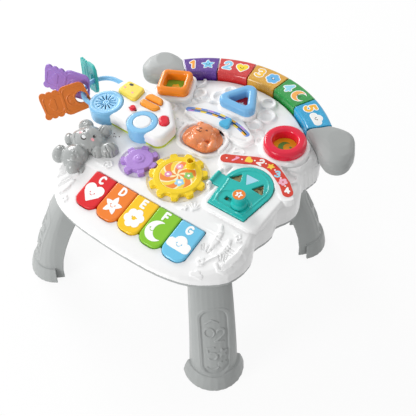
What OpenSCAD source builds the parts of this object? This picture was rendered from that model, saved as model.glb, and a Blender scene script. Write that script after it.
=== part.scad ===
// Musical activity table for toddlers: a lobed two-part housing on four plug-in channel legs, with
// piano keys, light-up number keys round the back grip, meshing gears, a peep door, shape rings,
// a page slider, a puppy button and a raised console that carries a ring of toy keys.
// Millimetres, +Z up, origin on the floor under the middle of the whole object.

/* [Placement] */
// Distance from the middle of the object to the middle of the housing, to the right
stand_x = 50; // [45:1:55]
// Distance from the middle of the object to the middle of the housing, to the back
stand_y = -44; // [-48:1:-38]

/* [Housing] */
// Half of the housing's width over its side lobes
half_w = 203; // [195:1:212]
// Place of the front edge
front_y = -182; // [-190:1:-176]
// Height of the joint line between the two housing shells
rim_z = 201; // [192:1:210]
// Height of the top panel above the floor, over the middle of the housing
panel_z = 243; // [238:1:250]
// Rise of the top panel towards the back, in degrees
panel_tilt = 5; // [4:0.5:6]
// Wall of the moulded housing
wall = 2.6; // [2:0.1:3.2]
// Depth of the bottom cover's side wall
cover_h = 6; // [5:0.5:9]
// Thickness of the bottom cover's floor
cover_floor = 3; // [2.4:0.2:4]
// Step of the bottom cover in from the top shell's edge
cover_inset = 1.2; // [0.8:0.2:1.6]

/* [Legs] */
// Width of a leg where it meets the bottom cover
leg_top_w = 69; // [64:1:74]
// Width of a leg at the floor
leg_foot_w = 84; // [78:1:88]
// Bulge of the leg's outer face at the top
leg_top_bulge = 17; // [14:1:20]
// Bulge of the leg's outer face at the floor
leg_foot_bulge = 43; // [38:1:46]
// Lean of a leg towards the middle, from the floor to its top
leg_lean = 70; // [64:1:74]
// Distance of the front feet from the middle of the housing, to the side
front_foot_x = 192; // [188:1:196]
// Place of the front feet
front_foot_y = -157; // [-162:1:-152]
// Distance of the rear feet from the middle of the housing, to the side
rear_foot_x = 160; // [156:1:164]
// Place of the rear feet
rear_foot_y = 181; // [176:1:186]
// Depth of a leg from its outer face to its open inner side
leg_depth = 54; // [50:1:58]
// Wall of a leg
leg_wall = 3; // [2.4:0.2:4]
// Radius of the flared foot at the floor
foot_r = 54; // [50:1:58]
// Height of the flared foot
foot_h = 30; // [24:1:36]
// Height of the plug on top of a leg
plug_h = 12; // [8:1:12]
// Width of the plug
plug_w = 30; // [24:1:32]
// Thickness of the plug
plug_t = 12; // [9:1:13]

/* [Grip] */
// Inner radius of the grip, where it meets the housing
grip_in_r = 193; // [190:1:196]
// Outer radius of the grip
grip_out_r = 242; // [236:1:246]
// Place of the middle of the grip's curve, along the panel
grip_y = 57; // [55:1:60]
// Top of the number keys above the panel
number_top = 17; // [14:1:19]
// Underside of the number keys, measured from the panel
number_base = -7; // [-10:1:-5]
// Angle between the middles of two number keys
number_pitch = 18; // [17.4:0.1:18.4]
// Gap between two number keys, as an angle
number_gap = 0.6; // [0.4:0.1:0.8]
// Gap between the number keys and the housing
number_clear = 1.2; // [1:0.1:1.6]
// Travel of a number key
number_travel = 3; // [2:0.5:3.5]
// Underside of the grip's core, measured from the panel
grip_base = -26; // [-30:1:-22]

/* [Piano keys] */
// Distance between two piano keys
piano_pitch = 48; // [46:0.5:49]
// Length of a piano key
piano_l = 69; // [64:1:72]
// Gap between two piano keys
piano_gap = 1.2; // [1:0.1:1.6]
// Height of a piano key above the panel round it
piano_proud = 4.5; // [3:0.5:6]
// Depth of a piano key below the panel round it
piano_deep = 7; // [6:0.5:8]
// Slope of the piano's panel down to the front, in degrees
piano_slope = 15.7; // [14:0.1:17]
// Place of the piano keys' back edge
piano_y = -83; // [-86:1:-80]
// Radius of the rod that the piano keys turn on
rod_r = 2; // [1.6:0.1:2.2]

/* [Gears] */
// Distance between two teeth, as the module of the pair
gear_module = 8.94; // [8.6:0.02:9]
// Teeth on the large gear
large_teeth = 11; // [11:1:11]
// Teeth on the small gear
small_teeth = 7; // [7:1:7]
// Height of the teeth above the pitch circle
tooth_addendum = 2.9; // [2.4:0.1:3.2]
// Depth of the teeth below the pitch circle
tooth_dedendum = 6.2; // [5.8:0.1:6.6]
// Play between the flanks of two teeth
tooth_play = 2.4; // [1.6:0.1:3]
// Thickness of the gears
gear_t = 11; // [9:1:12]
// Place of the large gear
large_gear_x = 9; // [7:1:11]
// Place of the large gear along the panel
large_gear_y = -16; // [-18:1:-14]
// Direction from the large gear to the small one, in degrees
gear_line = 186.4; // [184:0.2:189]
// Depth of the gears' tray in the panel
tray_depth = 3; // [2:0.5:4]
// Radius of the pins that the gears turn on
axle_r = 5; // [4:0.5:6]
// Running clearance round a pin
run_clear = 0.08; // [0.04:0.01:0.1]

/* [Door] */
// Middle of the door
door_x = 125; // [123:1:127]
// Place of the door's front edge along the panel
door_front_y = -36; // [-38:1:-34]
// Width of the door
door_w = 88; // [86:1:90]
// Length of the door
door_l = 108; // [105:1:110]
// Thickness of the door
door_t = 4.5; // [4:0.5:5.5]
// Height of the raised frame round the door
house_h = 8; // [7:0.5:9]
// Gap round the door
door_gap = 0.9; // [0.6:0.1:1.2]
// Place of the door's hinge
hinge_x = 66; // [64:1:68]
// Middle of the hinge along the panel
hinge_y = 15; // [13:1:17]
// Radius of the hinge pin
hinge_pin_r = 1.5; // [1.2:0.1:1.8]
// Travel of the door's lock knob
lock_travel = 24; // [20:1:26]

/* [Rings] */
// Height of the three shape rings above the panel
ring_top = 30; // [28:1:33]
// Height of the white collars under the rings
collar_h = 14; // [12:1:16]
// Height of the floors in the rings
ring_floor = 10; // [8:1:11]
// Width of the square ring
square_w = 62; // [58:1:64]
// Hole in the square ring
square_hole = 37; // [34:1:39]
// Side of the triangular ring
triangle_w = 98; // [92:1:100]
// Side of the hole in the triangular ring
triangle_hole = 44; // [42:1:48]
// Outer radius of the round ring
round_r = 38; // [36:0.5:39]
// Radius of the hole in the round ring
round_hole_r = 21.5; // [20:0.5:23]
// Clearance between a ring and its collar
ring_clear = 0.3; // [0.2:0.1:0.4]

/* [Slider] */
// Radius of the slider's path
slider_r = 147; // [145:1:149]
// Middle of the slider's path
slider_x = -8; // [-10:1:-6]
// Middle of the slider's path along the panel
slider_y = -4; // [-6:1:-2]
// Height of the slider's pad above the panel
pad_h = 8; // [7:0.5:9]
// Angle of the slider's knob from the middle of its path, to the right
slider_rest = 6; // [4:1:8]

/* [Console] */
// Height of the console's body above the panel
console_h = 27; // [25:1:29]
// Height of the console's base above the panel
console_base_h = 6; // [4:1:8]
// Radius of the speaker housing
speaker_r = 33; // [31:0.5:34]
// Radius of the lens ring
lens_r = 29; // [27:0.5:30]
// Radius of the lens button
lens_button_r = 17; // [15:0.5:18]
// Travel of the console's buttons
press = 2; // [1.5:0.25:2.5]
// Gap round the console's buttons
button_gap = 0.5; // [0.4:0.1:0.8]

/* [Key ring] */
// Radius of the key ring
key_ring_r = 38; // [34:1:42]
// Radius of the key ring's bar
key_bar_r = 4.5; // [4:0.25:5]
// Place of the middle of the key ring
key_ring_x = -234; // [-236:1:-230]
// Place of the middle of the key ring along the panel
key_ring_y = 62; // [58:1:66]
// Height of the key ring above the panel
key_ring_z = 22; // [19:1:24]
// Length of a toy key, from the bar to its tip
toy_key_l = 82; // [76:1:86]
// Width of a toy key
toy_key_w = 60; // [54:1:64]
// Thickness of a toy key
toy_key_t = 5; // [4:0.5:6]

/* [Hidden] */

$fn = 48;
eps = 0.01;

// Colours of the moulded plastics
white = [0.95, 0.95, 0.95];
grey = [0.62, 0.63, 0.63];
red = [0.90, 0.13, 0.16];
orange = [0.96, 0.54, 0.12];
yellow = [0.98, 0.84, 0.15];
green = [0.50, 0.78, 0.20];
sky = [0.52, 0.74, 0.92];
teal = [0.18, 0.74, 0.72];

// ---------------------------------------------------------------- frames

// The housing's own frame: X to the right, Y to the back, Z from the floor
module on_floor() {
    translate([stand_x, stand_y, 0]) children();
}

// The tilted panel: X to the right, Y up the panel, Z out of it
module on_panel() {
    on_floor() translate([0, 0, panel_z]) rotate([panel_tilt, 0, 0]) children();
}

deck_step = 2;
deck_z = panel_z + piano_y * tan(panel_tilt) - deck_step;

// The piano's panel, which falls to the front: Y runs back from the keys' back edge
module on_deck() {
    on_floor() translate([0, piano_y, deck_z]) rotate([piano_slope, 0, 0]) children();
}

// ---------------------------------------------------------------- outlines and lofts

function flip(p) = [-p[0], p[1]];
function reversed(v) = [for (i = [len(v) - 1:-1:0]) v[i]];
function turned(p, a) = [p[0] * cos(a) - p[1] * sin(a), p[0] * sin(a) + p[1] * cos(a)];
function moved(points, d) = [for (p = points) p + d];
function lift(points, z) = [for (p = points) [p[0], p[1], z]];

// A convex outline whose corners are rounded, by one radius or one each; inset moves it inwards
function rounded(corners, r, inset = 0, steps = 5) =
    let (n = len(corners))
    [for (i = [0:n - 1])
        let (a = corners[i], b = corners[(i + n - 1) % n], c = corners[(i + 1) % n],
             u = (b - a) / norm(b - a), v = (c - a) / norm(c - a),
             corner_r = is_list(r) ? r[i] : r,
             half = acos(max(-1, min(1, u * v))) / 2,
             mid = a + (u + v) / norm(u + v) * corner_r / sin(half),
             start = atan2(u[0], -u[1]), sweep = 180 - 2 * half)
        for (k = [0:steps]) mid + (corner_r - inset) * [cos(start + sweep * k / steps),
                                                        sin(start + sweep * k / steps)]];

// A solid through rings of points with the same count, wound left as seen from above
module loft(rings) {
    n = len(rings[0]);
    top = (len(rings) - 1) * n;
    points = [for (ring = rings) each ring];
    sides = [for (k = [0:len(rings) - 2], i = [0:n - 1])
        let (a = k * n + i, b = k * n + (i + 1) % n)
        each [[a, a + n, b + n], [a, b + n, b]]];
    polyhedron(points = points, convexity = 6,
        faces = concat(sides, [[for (i = [0:n - 1]) i]], [[for (i = [n - 1:-1:0]) top + i]]));
}

// A bent wall through sections whose points run along the outside, then back along the inside
module wall_loft(sections) {
    n = len(sections[0]);
    top = (len(sections) - 1) * n;
    sides = [for (k = [0:len(sections) - 2], i = [0:n - 1])
        let (a = k * n + i, b = k * n + (i + 1) % n)
        each [[a, a + n, b + n], [a, b + n, b]]];
    ends = [for (i = [0:n / 2 - 2])
        each [[i, i + 1, n - 2 - i, n - 1 - i], [top + n - 1 - i, top + n - 2 - i, top + i + 1, top + i]]];
    polyhedron(points = [for (section = sections) each section], faces = concat(sides, ends), convexity = 6);
}

// A closed band through rings of points whose last ring joins the first
module band(rings) {
    n = len(rings[0]);
    m = len(rings);
    points = [for (ring = rings) each ring];
    polyhedron(points = points, convexity = 6,
        faces = [for (k = [0:m - 1], i = [0:n - 1])
            let (a = k * n + i, b = k * n + (i + 1) % n, c = (a + n) % (m * n), d = (b + n) % (m * n))
            each [[a, c, d], [a, d, b]]]);
}

// A plate with rounded corners and a rounded top edge
module soft_plate(corners, r, z0, z1, edge, steps = 5) {
    loft([
        lift(rounded(corners, r, 0, steps), z0),
        for (a = [0, 30, 60, 90])
            lift(rounded(corners, r, edge * (1 - cos(a)), steps), z1 - edge * (1 - sin(a)))
    ]);
}

// A plain plate with rounded corners
module plate(corners, r, z0, z1, inset = 0) {
    translate([0, 0, z0]) linear_extrude(z1 - z0) polygon(rounded(corners, r, inset));
}

function box_corners(w, l) = [[-w, -l] / 2, [w, -l] / 2, [w, l] / 2, [-w, l] / 2];
function square_corners(w, at, a) = moved([for (p = box_corners(w, w)) turned(p, a)], at);
function triangle_corners(w, at) =
    let (r = w / sqrt(3)) [for (a = [210, 330, 90]) at + r * [cos(a), sin(a)]];

// A smooth curve through points, with its ends included
function smooth(p, steps) =
    let (last = len(p) - 1)
    concat([for (i = [0:last - 1], k = [0:steps - 1])
        let (a = p[max(0, i - 1)], b = p[i], c = p[i + 1], d = p[min(last, i + 2)], t = k / steps)
        0.5 * (2 * b + (c - a) * t + (2 * a - 5 * b + 4 * c - d) * t * t
            + (3 * b - a - 3 * c + d) * t * t * t)], [p[last]]);

// A round solid that is wider at its waist, standing on its middle
module egg(r, h) {
    rotate_extrude() polygon([for (a = [-90:18:90]) [max(0, r * cos(a)), h * sin(a)]]);
}

// ---------------------------------------------------------------- housing

// Right side of the housing from the front to the back, with the edge's rounding for each point
side_points = [
    [14, front_y, 10], [70, front_y + 2, 10], [112, front_y + 8, 12], [146, front_y + 19, 14],
    [174, front_y + 38, 16], [half_w - 9, front_y + 60, 18], [half_w - 1.5, piano_y - 12, 18],
    [half_w - 1, piano_y - 3, 18], [half_w - 1, piano_y + 3, 17], [half_w - 2, piano_y + 14, 16],
    [half_w - 6, -58, 14], [half_w - 14, -41, 10], [half_w - 9, -20, 14], [half_w - 7, 2, 14],
    [half_w - 13, 22, 10], [half_w - 5, 40, 14], [half_w, 62, 14], [half_w - 6, 86, 14],
    [half_w - 22, 114, 12], [half_w - 19, 138, 18], [half_w - 16, 162, 13], [half_w - 22, 180, 6]
];
side_curve = smooth(side_points, 2);
back_angles = [38:-6:2];
back_curve = [for (a = back_angles) [(grip_in_r - 1) * sin(a), grip_y + (grip_in_r - 1) * cos(a), 3]];
right_side = concat(side_curve, back_curve);

// The right side moved inwards along its normals
function side_inset(curve, share, extra) =
    let (last = len(curve) - 1)
    [for (i = [0:last])
        let (p = curve[i], a = curve[max(0, i - 1)], b = curve[min(last, i + 1)],
             t = [b[0] - a[0], b[1] - a[1]], n = [-t[1], t[0]] / norm(t), d = extra + share * p[2])
        [p[0] + n[0] * d, p[1] + n[1] * d, p[2]]];

function shell_outline(inset) =
    let (side = [for (p = side_inset(right_side, 0, inset)) [p[0], p[1]]])
    concat(side, reversed([for (p = side) flip(p)]));

// Height of the housing's top above the floor
function top_z(y) = y > piano_y ? panel_z + y * tan(panel_tilt)
    : deck_z + (y - piano_y) * tan(piano_slope);

// The housing's outer form, or its inside where inset and drop are the wall
module shell_form(base_z, inset, drop) {
    angles = [0, 30, 60, 90];
    sides = concat(
        [[for (p = side_inset(right_side, 0, inset)) [p[0], p[1], base_z]]],
        [for (a = angles) let (s = side_inset(right_side, 1 - cos(a), inset + 0.5))
            [for (i = [0:len(s) - 1]) let (p = s[i], z = top_z(p[1]) - drop,
                    r = min(1.3 * p[2], 0.85 * (top_z(right_side[i][1]) - rim_z)))
                [p[0], p[1], max(base_z + 1, z - r * (1 - sin(a)))]]]);
    n = len(right_side);
    rings = [for (s = sides) concat(s, reversed([for (p = s) [-p[0], p[1], p[2]]]))];
    m = 2 * n;
    top = (len(rings) - 1) * m;
    walls = [for (k = [0:len(rings) - 2], i = [0:m - 1])
        let (a = k * m + i, b = k * m + (i + 1) % m)
        each [[a, a + m, b + m], [a, b + m, b]]];
    strips = [for (i = [0:n - 2]) [top + i, top + m - 1 - i, top + m - 2 - i, top + i + 1]];
    floor_face = [for (i = [0:m - 1]) i];
    polyhedron(points = [for (ring = rings) each ring], faces = concat(walls, strips, [floor_face]),
        convexity = 8);
}

square_at = [-134, 158];
square_turn = 25;
triangle_at = [0, 187];
triangle_base_w = 84;
round_at = [127, 140];
collar_flange = 6;
seat_wall = 4;
house_corners = [[door_x - 49, -46], [door_x + 65, -46], [door_x + 65, 58], [door_x + 37, 92],
    [door_x - 27, 92], [door_x - 49, 62]];
roof_strip = [[49, 60], [52, 54], [59, 51], [94, 75], [110, 78], [126, 76], [142, 69], [164, 58],
    [186, 42], [194, 41], [199, 47], [160, 83], [146, 93], [131, 100], [114, 103], [104, 99]];
roof_ledge = 5;
pad_corners = [[-96, 116], [-30, 106], [66, 106], [72, 130], [22, 160], [-62, 162]];
puppy_at = [-12, 82];
puppy_w = 76;
puppy_l = 58;
puppy_floor = -2;
tray_edge = 3;
panel_reach = 40;

// Outline of the door: an arch over sides that close in to the front
module door_outline(grow = 0) {
    r = door_w / 2 + grow;
    taper = 8;
    arch_y = door_front_y + door_l - door_w / 2;
    translate([door_x, arch_y]) circle(r);
    polygon([[door_x - r + taper, door_front_y - grow], [door_x + r - taper, door_front_y - grow],
        [door_x + r, arch_y], [door_x - r, arch_y]]);
}

large_gear_at = [large_gear_x, large_gear_y];
gear_distance = gear_module * (large_teeth + small_teeth) / 2;
small_gear_at = large_gear_at + gear_distance * [cos(gear_line), sin(gear_line)];

function tip_r(teeth) = gear_module * teeth / 2 + tooth_addendum;

// Round forms under both gears, wider than their teeth by grow
module gear_discs(grow, z0, z1) {
    for (g = [[large_gear_at, large_teeth], [small_gear_at, small_teeth]])
        translate([g[0][0], g[0][1], z0]) cylinder(r = tip_r(g[1]) + grow, h = z1 - z0);
}

slot_w = 3.2;
slider_left = 30;
slider_right = 16;
slot_spare = 1.6;
// The slot along the slider's path, from the knob's left limit to its right one
module slider_slot(z0, z1) {
    from = 90 - slider_rest - slider_right - slot_spare;
    sweep = slider_left + slider_right + 2 * slot_spare;
    translate([slider_x, slider_y, z0]) {
        rotate(from) rotate_extrude(angle = sweep)
            translate([slider_r - slot_w / 2, 0]) square([slot_w, z1 - z0]);
        for (a = [from, from + sweep])
            rotate(a) translate([slider_r, 0]) cylinder(d = slot_w + 0.4, h = z1 - z0);
    }
}

door_top = house_h + 2.5;
door_base = door_top - door_t;
door_floor = 2.2;
card_t = 0.8;
hinge_z = house_h + 2.2;
barrel_r = 4;
hinge_l = 26;
knuckle_l = 8;
hinge_gap = 0.5;

// The housing's two knuckles, in front of the door's barrel and behind it
module hinge_knuckles() {
    for (s = [-1, 1]) {
        start = hinge_y + s * (hinge_l / 2 + hinge_gap) - (s < 0 ? knuckle_l : 0);
        translate([hinge_x, start, hinge_z]) rotate([-90, 0, 0]) cylinder(r = barrel_r, h = knuckle_l);
        translate([hinge_x - barrel_r, start, -1]) cube([2 * barrel_r, knuckle_l, hinge_z + 1]);
    }
}

cap_start = 2.5 * number_pitch + 0.3;
// One slice of the grip's section at the start of the right bulb
module cap_slice(edge, drop, grow) {
    translate([0, grip_y, 0]) rotate(90 - cap_start - 1) rotate_extrude(angle = 1, $fn = 32)
        translate([grip_in_r + 1.5 + edge - grow, grip_base + drop - grow])
            square([grip_out_r - grip_in_r - 1.5 - 2 * edge + 2 * grow,
                number_top - grip_base - 2 * drop + 2 * grow]);
}

// Round forms in the bulb: place, radius, underside and top
bulb_rings = [[187, 213, 19, -20, 18], [199, 202, 29, -19, 20], [210, 184, 28, -18, 18],
    [214, 170, 26, -16, 15]];
// The bulb at the right end of the grip; grow widens it for its seat in the housing
module cap_form(grow = 0) {
    hull() {
        cap_slice(0, 6, grow);
        cap_slice(6, 0, grow);
        for (b = bulb_rings) translate([b[0], b[1], b[3] - grow]) {
            cylinder(r = b[2] - 9 + grow, h = b[4] - b[3] + 2 * grow, $fn = 28);
            translate([0, 0, 4]) cylinder(r = b[2] - 2.5 + grow, h = b[4] - b[3] - 7 + 2 * grow, $fn = 28);
            translate([0, 0, 9]) cylinder(r = b[2] + grow, h = b[4] - b[3] - 20 + 2 * grow, $fn = 28);
        }
    }
}

key_clear = 0.8;
tongue_r = 17;
function piano_corners(i, grow = 0) =
    moved(box_corners(piano_pitch - piano_gap + 2 * grow, piano_l + 2 * grow), [(i - 3) * piano_pitch, -piano_l / 2]);
row_w = 5 * piano_pitch - piano_gap;
rod_z = rod_r + 1.6 - piano_deep;
rod_y = -5;
post_t = 6;
rod_half = row_w / 2 + key_clear + post_t;

// The blocks at both ends of the keys' rod
module rod_posts() {
    for (s = [-1, 1]) translate([s * (rod_half - post_t / 2) - post_t / 2, rod_y - 4, rod_z - 5])
        cube([post_t, 8, 5 - rod_z - 1]);
}

core_tab_angles = [-30, 0, 30];
core_tab_w = 16;
// The tongues that hold the grip's core in the housing's back wall
module core_tabs(grow = 0) {
    for (a = core_tab_angles) translate([0, grip_y, 0]) rotate(a)
        translate([-core_tab_w / 2 - grow, grip_in_r - 12 - grow, grip_base + 6 - grow])
            cube([core_tab_w + 2 * grow, 16 + grow, 5 + 2 * grow]);
}

front_posts = [[150, -52], [-150, -52]];
rear_posts = [[75, 205], [-75, 205]];
screw_posts = concat(front_posts, rear_posts);
screw_r = 1.5;
post_r = 4;

module top_shell() {
    color(white) difference() {
        union() {
            difference() {
                union() {
                    on_floor() shell_form(rim_z, 0, 0);
                    on_panel() raised_forms();
                }
                on_floor() shell_form(rim_z - 1, wall, wall);
                on_panel() raised_insides();
            }
            on_panel() {
                gear_discs(tray_edge + wall, -tray_depth - wall, -0.5);
                plate(moved(box_corners(puppy_w + 10, puppy_l + 6), puppy_at), 28, puppy_floor - wall, -0.5);
                hinge_knuckles();
            }
            on_deck() rod_posts();
            on_floor() for (p = screw_posts) translate([p[0], p[1], rim_z])
                cylinder(r = post_r, h = top_z(p[1]) - wall / 2 - rim_z);
        }
        on_panel() shell_cuts();
        on_deck() {
            translate([-row_w / 2 - key_clear, tongue_r - 8 - piano_l, -20])
                cube([row_w + 2 * key_clear, piano_l - tongue_r + 8 + key_clear, panel_reach]);
            for (i = [1:5]) translate([0, 0, -20]) linear_extrude(panel_reach)
                polygon(rounded(piano_corners(i, key_clear),
                    [tongue_r + key_clear, tongue_r + key_clear, 1, 1]));
            translate([0, rod_y, rod_z]) rotate([0, 90, 0])
                cylinder(r = rod_r + 0.02, h = 2 * rod_half + 1, center = true);
        }
        on_floor() for (p = screw_posts) translate([p[0], p[1], rim_z - 1])
            cylinder(r = screw_r + 0.02, h = 13);
    }
}

// What stands on the panel in the same moulding
module raised_forms() {
    soft_plate(square_corners(square_w + 2 * collar_flange, square_at, square_turn), 16, -4, collar_h, 4);
    soft_plate(triangle_corners(triangle_base_w + 3.4 * collar_flange, triangle_at), 18, -4, collar_h, 4);
    translate([round_at[0], round_at[1], -4]) {
        cylinder(r = round_r + collar_flange, h = collar_h + 2);
        cylinder(r = round_r + collar_flange - 3, h = collar_h + 4);
    }
    soft_plate(house_corners, 20, -4, house_h, 4);
    translate([0, 0, -4]) linear_extrude(door_top + 4) offset(r = roof_ledge, $fn = 24)
        polygon(roof_strip);
    soft_plate(pad_corners, 14, -4, pad_h, 4);
    soft_plate(moved(box_corners(puppy_w + 24, puppy_l + 18), puppy_at), 34, -4, 3, 2);
}

// The hollows under the raised forms
module raised_insides() {
    plate(pad_corners, 14, -8, pad_h - wall, wall);
    plate(house_corners, 20, -8, door_floor - wall, wall);
    plate(square_corners(square_w, square_at, square_turn), 12, -8, ring_floor - wall, 6);
    plate(triangle_corners(triangle_base_w, triangle_at), 14, -8, ring_floor - wall, 6);
    translate([round_at[0], round_at[1], -8]) cylinder(r = round_r - 6, h = ring_floor - wall + 8);
}

// The wells, recesses, slots and seats in the panel
module shell_cuts() {
    plate(square_corners(square_hole, square_at, square_turn), 6, ring_floor, panel_reach, -seat_wall);
    plate(triangle_corners(triangle_hole, triangle_at), 4, ring_floor, panel_reach, -seat_wall);
    translate([round_at[0], round_at[1], ring_floor]) cylinder(r = round_hole_r + seat_wall, h = panel_reach);
    translate([0, 0, door_floor]) linear_extrude(panel_reach) door_outline(door_gap);
    translate([hinge_x - barrel_r - 0.6, hinge_y - hinge_l / 2 - hinge_gap, 1])
        cube([door_x - hinge_x, hinge_l + 2 * hinge_gap, panel_reach]);
    translate([hinge_x, hinge_y, hinge_z]) rotate([-90, 0, 0])
        cylinder(r = hinge_pin_r + 0.02, h = hinge_l + 4 * knuckle_l, center = true);
    gear_discs(tray_edge, -tray_depth, panel_reach / 2);
    slider_slot(-10, panel_reach / 2);
    plate(moved(box_corners(puppy_w + 8, puppy_l + 4), puppy_at), 27, puppy_floor, panel_reach / 4);
    translate([puppy_at[0], puppy_at[1], puppy_floor - 10]) cylinder(r = puppy_stem_r + 1, h = 20);
    for (m = [0, 1]) mirror([m, 0, 0]) cap_form(0.3);
    core_tabs(0.3);
    grip_sector(-cap_start - 0.5, cap_start + 0.5, grip_in_r - 0.2, grip_out_r, grip_base, panel_reach);
}

module bottom_cover() {
    base_z = rim_z - cover_h;
    color(grey) on_floor() difference() {
        union() {
            difference() {
                translate([0, 0, base_z]) linear_extrude(cover_h) polygon(shell_outline(cover_inset));
                translate([0, 0, base_z + cover_floor]) linear_extrude(cover_h)
                    polygon(shell_outline(cover_inset + 2.4));
            }
            for (l = legs) leg_frame(l) translate([plug_at - plug_t / 2 - socket_wall,
                -plug_w / 2 - socket_wall, base_z + 1])
                cube([plug_t + 2 * socket_wall, plug_w + 2 * socket_wall, plug_h + 1]);
            translate([-bay_w / 2 - 2, bay_y - bay_l / 2 - 2, base_z]) cube([bay_w + 4, bay_l + 4, bay_h + 2]);
            for (p = board_posts) translate([p[0], p[1], base_z + 1]) cylinder(r = 3.5, h = board_z - base_z - 1);
            for (p = screw_posts) translate([p[0], p[1], base_z]) cylinder(r = 6, h = cover_h);
        }
        for (l = legs) leg_frame(l) translate([plug_at - plug_t / 2 - plug_clear,
            -plug_w / 2 - plug_clear, base_z - 1])
            cube([plug_t + 2 * plug_clear, plug_w + 2 * plug_clear, plug_h + 20]);
        translate([-bay_w / 2, bay_y - bay_l / 2, base_z - 1]) cube([bay_w, bay_l, bay_h + 1]);
        translate([-bay_w / 2 - 3, bay_y - bay_l / 2 - 3, base_z - 1]) cube([bay_w + 6, bay_l + 6, 1 + bay_door_t]);
        for (p = screw_posts) translate([p[0], p[1], base_z - 1]) {
            cylinder(r = screw_r + 0.2, h = cover_h + 2);
            cylinder(r = 3.8, h = 3);
        }
    }
}

// ---------------------------------------------------------------- legs

plug_clear = 0.3;
socket_wall = 2.4;
// Side, front or back, and the place of the foot
legs = [[1, -1, front_foot_x, front_foot_y], [-1, -1, front_foot_x, front_foot_y],
    [1, 1, rear_foot_x, rear_foot_y], [-1, 1, rear_foot_x, rear_foot_y]];

leg_z = rim_z - cover_h;
leg_root_z = 20;
plug_at = leg_foot_bulge - leg_depth / 2 - leg_lean;
leg_angles = [for (k = [-6:6]) 15 * k];

// How far a leg has leaned inwards at a height
function leg_shift(z) = leg_lean * pow(max(0, z - leg_root_z) / (leg_z - leg_root_z), 1.5);

// The foot's own frame: X points outwards along the diagonal
module leg_frame(l) {
    translate([l[0] * l[2], l[3], 0]) rotate(atan2(l[1], l[0])) children();
}

// Section of the channel at a height: outer arc, then back along the inner one
function leg_section(z) =
    let (share = z / leg_z, w = leg_wall,
         a = leg_foot_w / 2 + (leg_top_w - leg_foot_w) / 2 * share,
         b = leg_foot_bulge + (leg_top_bulge - leg_foot_bulge) * share,
         face = leg_foot_bulge - leg_shift(z), x = face - b, back = face - leg_depth)
    concat([[back, -a, z]],
        [for (t = leg_angles) [x + b * cos(t), a * sin(t), z]],
        [[back, a, z], [back, a - w, z]],
        [for (t = reversed(leg_angles)) [x + (b - w) * cos(t), (a - w) * sin(t), z]],
        [[back, w - a, z]]);

// The area inside the middle of the channel's wall at a height
function leg_plate(z) =
    let (s = leg_section(z), n = len(s), arc = n / 2)
    [for (i = [0:arc - 1]) (s[i] + s[n - 1 - i]) / 2 + [i == 0 || i == arc - 1 ? 1 : 0, 0, 0]];

// Section of the flared half ring round the foot
skirt_angles = [for (k = [-6:6]) 14.5 * k];
function skirt_section(out_r, in_r, z) =
    concat([for (t = skirt_angles) [out_r * cos(t), out_r * sin(t), z]],
        [for (t = reversed(skirt_angles)) [in_r * cos(t), in_r * sin(t), z]]);

module leg(l) {
    levels = [0, leg_root_z, 48, 76, 104, 132, 162, leg_z];
    in_r = leg_foot_w / 2 - leg_wall / 2;
    color(grey) on_floor() leg_frame(l) {
        wall_loft([for (z = levels) leg_section(z)]);
        loft([leg_plate(leg_z - leg_wall), leg_plate(leg_z)]);
        translate([plug_at - plug_t / 2, -plug_w / 2, leg_z - leg_wall]) cube([plug_t, plug_w, plug_h + leg_wall]);
        wall_loft([
            skirt_section(foot_r, foot_r - leg_wall, 0),
            skirt_section(foot_r - 3, foot_r - leg_wall - 3, foot_h / 2),
            skirt_section(foot_r - 7, foot_r - leg_wall - 7, foot_h - leg_wall),
            skirt_section(foot_r - 7.2, in_r, foot_h - leg_wall + 0.1),
            skirt_section(foot_r - 9, in_r, foot_h)
        ]);
    }
}

module leg_front_right() { leg(legs[0]); }
module leg_front_left() { leg(legs[1]); }
module leg_back_right() { leg(legs[2]); }
module leg_back_left() { leg(legs[3]); }

// ---------------------------------------------------------------- grip and number keys

key_wall = 2.2;
plinth_top = -1;
plinth_half = number_pitch / 2 - 1.6;

module grip_sector(a0, a1, r0, r1, z0, z1) {
    translate([0, grip_y, z0]) rotate(90 - a1) rotate_extrude(angle = a1 - a0)
        translate([r0, 0]) square([r1 - r0, z1 - z0]);
}

module grip_core() {
    end = cap_start - 0.05;
    tray_top = number_base - number_travel - 0.4;
    in_r = grip_in_r + number_clear;
    color(grey) on_panel() {
        grip_sector(-end, end, in_r, grip_out_r - 0.5, grip_base, tray_top);
        for (i = [-2:2]) grip_sector(i * number_pitch - plinth_half, i * number_pitch + plinth_half,
            in_r + 2 * key_wall, grip_out_r - 2 * key_wall, tray_top - 1, plinth_top);
        core_tabs();
    }
}

module grip_cap_right() { color(grey) on_panel() cap_form(); }
module grip_cap_left() { color(grey) on_panel() mirror([1, 0, 0]) cap_form(); }

// Section of a number key: a rounded cap over an open underside
module number_section(inset) {
    r0 = grip_in_r + number_clear + inset;
    r1 = grip_out_r - inset;
    edge = max(1, 6 - inset);
    translate([r0 + edge, number_top - inset - edge]) circle(edge);
    translate([r1 - edge, number_top - inset - edge]) circle(edge);
    translate([r0 + edge, number_base - 5]) square([r1 - r0 - 2 * edge, number_top - inset - number_base + 5]);
    translate([r0, number_base - 5]) square([r1 - r0, number_top - inset - edge - number_base + 5]);
}

module number_key(i, tone) {
    middle = (i - 3) * number_pitch;
    half = (number_pitch - number_gap) / 2;
    side = key_wall / grip_in_r * 180 / PI;
    color(tone) on_panel() translate([0, grip_y, 0]) difference() {
        rotate(90 - middle - half) rotate_extrude(angle = 2 * half) number_section(0);
        rotate(90 - middle - half + side) rotate_extrude(angle = 2 * half - 2 * side)
            number_section(key_wall);
        translate([0, 0, number_base - 20]) cylinder(r = grip_out_r + 10, h = 20);
    }
}

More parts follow.
